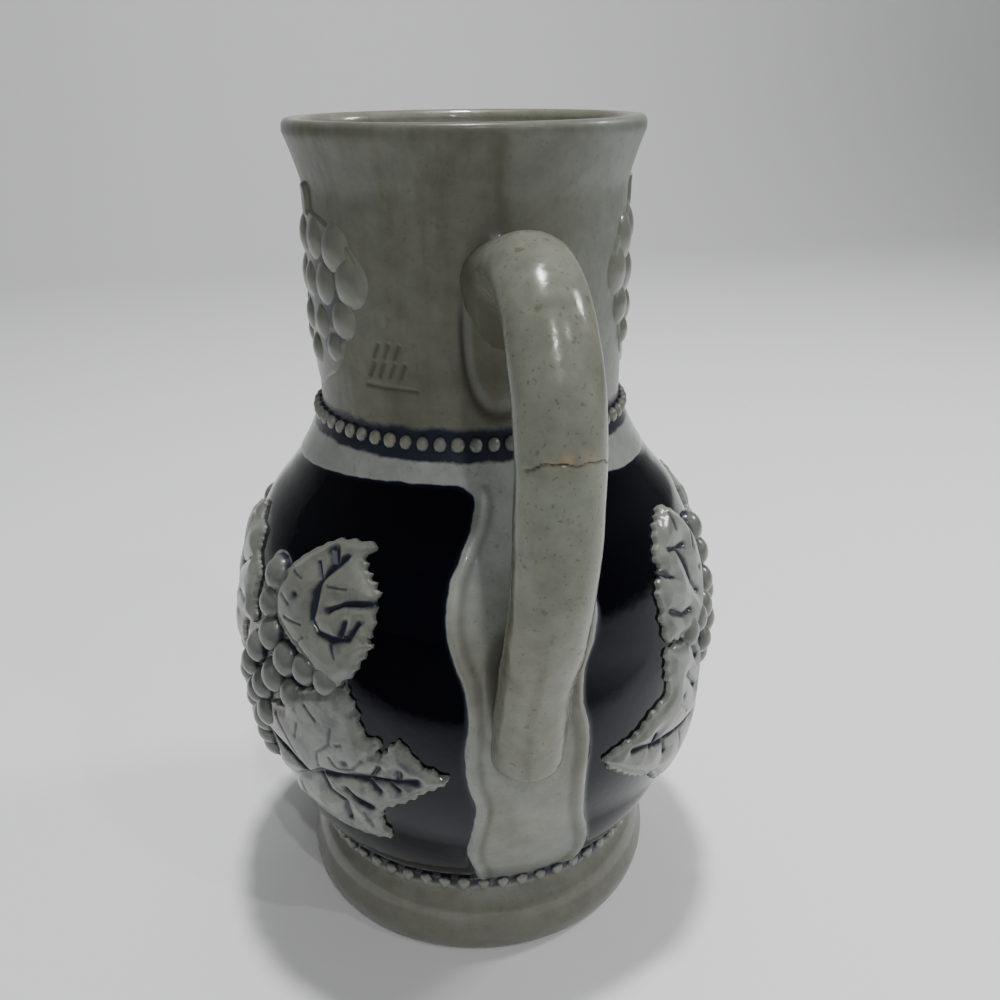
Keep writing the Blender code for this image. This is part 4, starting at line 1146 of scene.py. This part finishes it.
def carve(name, middle, mirror, form, net, rise, dome, tooth_cut, material, edge=LEAF_EDGE):
    """Lay a carved plate on the wall: a closed net over its outline, its back inside the wall."""
    corners = flat_spots(form["outline"])
    corners = line_through(np.vstack([corners, corners[:2]]), np.arange(0, len(corners), 0.25))
    spots = np.array(form["outline"], float)
    turns = np.radians([spots[:, 0].min(), spots[:, 0].max()])
    arcs = np.array([spots[:, 1].min() * MM - NET_MARGIN, spots[:, 1].max() * MM + NET_MARGIN])
    mean_radius = float(radius_at(level_of(arcs.mean())))
    turns += np.array([-NET_MARGIN, NET_MARGIN]) / mean_radius
    across = np.linspace(*turns, int((turns[1] - turns[0]) * mean_radius / net))
    up = np.linspace(*arcs, int((arcs[1] - arcs[0]) / net))
    turn, arc = np.meshgrid(across, up)
    x, y = turn * radius_at(level_of(arc)), arc
    inside, round_at = inside_distance(x, y, corners)
    saw = (round_at + 0.5 * MM * np.sin(round_at / (3.1 * MM))) / TOOTH_PITCH
    saw = np.abs(saw % 1.0 - 0.5) * 2.0 * (0.75 + 0.25 * np.sin(round_at / (2.3 * MM)))
    saw = saw * between(0.3, 1.0, smooth_step((np.abs(turn) - TOOTH_TURN_FROM)
                                              / (TOOTH_TURN_TO - TOOTH_TURN_FROM)))
    inside = inside - tooth_cut * saw * smooth_step(1.0 - inside / TOOTH_FADE)
    veins = to_lines(x, y, form.get("veins", []))
    creases = to_lines(x, y, form.get("creases", []))
    dimples = np.full(x.shape, FAR_OFF)
    for spot in flat_spots(form.get("dimples", [])):
        dimples = np.minimum(dimples, np.hypot(x - spot[0], y - spot[1]))

    height = -LEAF_SINK + (LEAF_SINK + rise) * smooth_step((inside + EDGE_OUT) / edge)
    puff = 1.0 - np.exp(-np.minimum(veins, inside.clip(0.0)) / PUFF_REACH)
    height += dome * puff * smooth_step(inside / DOME_FADE)
    vein_width = VEIN_WIDTH * (0.9 + 0.3 * np.sin(x / (1.9 * MM) + y / (1.3 * MM)))
    vein_cut = np.exp(-(veins / vein_width) ** 2)
    crease_cut = np.exp(-(creases / CREASE_WIDTH) ** 2)
    dimple_cut = np.exp(-(dimples / DIMPLE_RADIUS) ** 2)
    cut = np.maximum(np.maximum(vein_cut, CREASE_SHARE * crease_cut), dimple_cut)
    height -= VEIN_DEPTH * cut * smooth_step((inside + CUT_OUT) / CUT_FADE)

    kept = height > -LEAF_SINK * 0.98
    kept_faces = kept[:-1, :-1] & kept[1:, :-1] & kept[:-1, 1:] & kept[1:, 1:]
    rows, columns = turn.shape
    number = np.arange(rows * columns).reshape(rows, columns)
    front = np.stack([number[:-1, :-1], number[:-1, 1:], number[1:, 1:], number[1:, :-1]],
                     -1)[kept_faces]
    back = front[:, ::-1] + rows * columns
    edges = {}
    for face in front.tolist():
        for start, end in zip(face, face[1:] + face[:1]):
            if edges.pop((end, start), None) is None:
                edges[(start, end)] = True
    sides = [(end, start, start + rows * columns, end + rows * columns) for start, end in edges]
    angles = middle + mirror * turn
    places = np.vstack([on_wall(angles, arc, height).reshape(-1, 3),
                        on_wall(angles, arc, -LEAF_SINK * 1.6).reshape(-1, 3)])
    faces = front.tolist() + back.tolist() + sides
    if mirror < 0:
        faces = [face[::-1] for face in faces]
    mesh = bpy.data.meshes.new(name)
    mesh.from_pydata(places.tolist(), [], faces)
    cobalt = form.get("vein_cobalt", 0.9) * np.exp(-(veins / (vein_width * 1.7)) ** 2)
    cobalt = np.maximum(cobalt, 0.45 * crease_cut)
    cobalt = np.maximum(cobalt, 0.5 * dimple_cut) + form.get("wash", 0.0)
    for degrees, hollow_arc, size in form.get("hollows", []):
        spot = flat_spots([(degrees, hollow_arc)])[0]
        off = np.hypot(x - spot[0], y - spot[1])
        cobalt = np.maximum(cobalt, 0.9 * smooth_step((size * MM - off) / HOLLOW_FADE))
    # Creases and dimples are darkened: pooled glaze and painted shade
    pooled = np.maximum(0.5 * crease_cut, 0.7 * dimple_cut)
    note_on(mesh, "cobalt", np.tile(cobalt.ravel(), 2))
    note_on(mesh, "pooled", np.tile(pooled.ravel(), 2))
    turn_outward(mesh)
    finish_piece(add_object(name, mesh), material)


left, right = VINE_ANGLES["left"], VINE_ANGLES["right"]
for name, middle, mirror, form, net in (
        ("left_upper_leaf", left, 1, UPPER_LEAF, NEAR_NET),
        ("left_lower_leaf", left, 1, LOWER_LEAF, NEAR_NET),
        ("left_far_upper_leaf", left, -1, UPPER_LEAF, FAR_NET),
        ("left_far_lower_leaf", left, -1, LOWER_LEAF, FAR_NET),
        ("left_middle_leaf", left, 1, MIDDLE_LEAF, FAR_NET),
        ("right_upper_leaf", right, -1, RIGHT_UPPER_LEAF, NEAR_NET),
        ("right_lower_leaf", right, -1, RIGHT_LOWER_LEAF, NEAR_NET),
        ("right_far_upper_leaf", right, 1, UPPER_LEAF, FAR_NET),
        ("right_far_lower_leaf", right, 1, LOWER_LEAF, FAR_NET),
        ("right_middle_leaf", right, -1, MIDDLE_LEAF, FAR_NET)):
    carve(name, middle, mirror, form, net, LEAF_RISE, LEAF_DOME, TOOTH_CUT, relief_glaze)

# Plate of the neck bunches
# The neck's small bunches sit on a low plate with a short stalk, from the same mould.

PLATE_RISE = 0.45 * MM
PLATE_EDGE = 1.1 * MM
STALK_RISE = 0.8 * MM
PLATE_LEVELS = [(0, 150.5), (10, 149.5), (17, 148.3), (26, 145.8), (33, 141.5), (33.5, 138.5),
                (29, 134.5), (26, 130.5), (22, 126), (17.5, 122), (8, 119.5), (0, 117.5)]
half = [(degrees, float(arc_of(level * MM)) / MM) for degrees, level in PLATE_LEVELS]
plate_outline = half + [(-degrees, arc) for degrees, arc in half[-2:0:-1]]
stalk_arcs = [float(arc_of(level * MM)) / MM for level in (149.0, 154.0)]
PLATE_HOLLOWS = [(17, 139.5, 3.5), (20, 135.2, 3.3), (15.5, 132.6, 3.5), (9, 141.0, 3.5),
                 (4, 133.5, 3.9), (12, 126.6, 2.7), (20, 128.4, 2.5)]
plate_hollows = [(turned * degrees, float(arc_of(level * MM)) / MM, size)
                 for degrees, level, size in PLATE_HOLLOWS for turned in (1, -1)]
NECK_PLATE = {"outline": plate_outline, "hollows": plate_hollows}
NECK_STALK = {"outline": [(-2.4, stalk_arcs[0]), (2.4, stalk_arcs[0]), (2.0, stalk_arcs[1]),
                          (-2.0, stalk_arcs[1])]}
# The right plate takes the lighter green of the neck beside it, partly painted light from the right
for side, sign, plate_tone in (("left", -1, NECK_GREY), ("right", 1, NECK_GREEN)):
    plate_glaze = glazed("plate_glaze_" + side, specks=0.2, streaks=0.2, grey=plate_tone,
                         olive=NECK_GREY, green=plate_tone)[0]
    carve("neck_plate_" + side, sign * BUNCH_ANGLE, -sign, NECK_PLATE, NEAR_NET, PLATE_RISE, 0.0, 0.0,
          plate_glaze, PLATE_EDGE)
    carve("neck_stalk_" + side, sign * BUNCH_ANGLE, -sign, NECK_STALK, NEAR_NET, STALK_RISE, 0.0, 0.0,
          plate_glaze)

# Stage
# A plain pale floor that curves up behind, soft lamps over the jug and on its right, small ones
# in front that the glaze mirrors as points, and a camera at the photograph's viewing angle.

FLOOR_SIDE = 4.0
FLOOR_FRONT = -2.0
FLOOR_BACK = 1.1
SWEEP_ROUND = 0.3
SWEEP_HEIGHT = 0.65
JUG_MIDDLE = (0.0, 0.0, 0.08)
JUG_UPPER = (0.0, 0.0, 0.1)
CAMERA_PLACE = (-36.2 * MM, -197.1 * MM, 172.0 * MM)
CAMERA_PAN = 0.210364
CAMERA_DIP = 0.39663
CAMERA_ROLL = -0.0106
LENS = 36.72

sweep = [(FLOOR_FRONT, 0.0), (FLOOR_BACK - SWEEP_ROUND, 0.0)]
for turn in np.radians(np.arange(9, 91, 9)):
    sweep.append((FLOOR_BACK - SWEEP_ROUND + SWEEP_ROUND * math.sin(turn),
                  SWEEP_ROUND * (1 - math.cos(turn))))
sweep.append((FLOOR_BACK, SWEEP_HEIGHT))
sweep_points = [(side * FLOOR_SIDE / 2, y, z) for y, z in sweep for side in (-1, 1)]
floor_mesh = bpy.data.meshes.new("floor")
floor_mesh.from_pydata(sweep_points, [], [(i, i + 1, i + 3, i + 2)
                                          for i in range(0, len(sweep_points) - 2, 2)])
floor_mesh.shade_smooth()
floor = add_object("floor", floor_mesh)

# The floor is plain, but the glaze mirrors it darker in front of the handle, as under a flag
FLOOR_PALE = (0.80, 0.81, 0.805, 1.0)
FLOOR_DARK = (0.03, 0.03, 0.03, 1.0)
paper = bpy.data.materials.new("paper")
paper.use_nodes = True
w = Wiring(paper.node_tree)
shader = w.tree.nodes["Principled BSDF"]
axes = w.split(w.add("ShaderNodeTexCoord").outputs["Object"])
pale = w.sum("MAXIMUM", w.ramp(axes[1], -0.15, -0.088), w.ramp(axes[0], 0.04, 0.26))
unmirrored = w.sum("SUBTRACT", 1.0, w.add("ShaderNodeLightPath").outputs["Is Glossy Ray"])
pale = w.sum("MAXIMUM", pale, unmirrored)
w.link(w.mix(pale, FLOOR_DARK, FLOOR_PALE), shader.inputs["Base Color"])
shader.inputs["Roughness"].default_value = 0.8
shader.inputs["Specular IOR Level"].default_value = 0.2
floor_mesh.materials.append(paper)

# The sky lights from behind and above, and looks even to the camera
SKY_BRIGHT = (0.235, 0.239, 0.243, 1.0)
SKY_SEEN = (0.36, 0.365, 0.37, 1.0)
SKY_FRONT = (0.045, 0.045, 0.046, 1.0)
world = bpy.data.worlds.new("studio")
bpy.context.scene.world = world
world.use_nodes = True
w = Wiring(world.node_tree)
axes = w.split(w.add("ShaderNodeTexCoord").outputs["Generated"])
behind = w.ramp(axes[1], -0.45, 0.25)
overhead = w.ramp(axes[2], -0.1, 0.6, 0.35, 1.0)
rightward = w.ramp(axes[0], -0.6, 0.3, 0.35, 0.85)
sky = w.mix(w.times(w.times(behind, overhead), rightward), SKY_FRONT, SKY_BRIGHT)
seen = w.add("ShaderNodeLightPath").outputs["Is Camera Ray"]
background = w.tree.nodes["Background"]
w.link(w.mix(seen, sky, SKY_SEEN), background.inputs["Color"])
background.inputs["Strength"].default_value = 1.0


def lamp(name, place, aim, size, watts, mirrored=True):
    """Hang a square lamp at a place, facing a point; the glaze may mirror it or not."""
    light = bpy.data.lights.new(name, "AREA")
    light.shape = "SQUARE"
    light.size = size
    light.energy = watts
    thing = add_object(name, light)
    thing.visible_glossy = mirrored
    thing.location = place
    facing = Vector(aim) - Vector(place)
    thing.rotation_euler = facing.to_track_quat("-Z", "Y").to_euler()


lamp("overhead", (0.03, 0.05, 1.0), JUG_MIDDLE, 0.08, 8.0)
lamp("right_side", (0.62, 0.05, 0.55), JUG_MIDDLE, 0.12, 2.2)
lamp("backdrop", (0.1, 0.30, 0.90), (0.15, 1.1, 0.10), 0.4, 1.9, mirrored=False)
lamp("front_fill", (-0.06, -0.64, 0.24), JUG_UPPER, 0.45, 1.0, mirrored=False)
lamp("front_low", (0.00, -0.80, 0.82), JUG_UPPER, 0.018, 1.5)
lamp("front_mid", (0.02, -0.72, 0.98), JUG_UPPER, 0.018, 1.5)
lamp("front_right", (0.42, -0.55, 0.80), JUG_UPPER, 0.014, 0.8)

camera = bpy.data.cameras.new("camera")
camera.sensor_width = 36.0
camera.lens = LENS
camera.clip_start = 0.01
viewer = add_object("camera", camera)
turned_view = Matrix.Rotation(-CAMERA_PAN, 4, "Z") @ Matrix.Rotation(math.pi / 2 - CAMERA_DIP, 4, "X")
turned_view = turned_view @ Matrix.Rotation(CAMERA_ROLL, 4, "Z")
viewer.matrix_world = Matrix.Translation(CAMERA_PLACE) @ turned_view
bpy.context.scene.camera = viewer
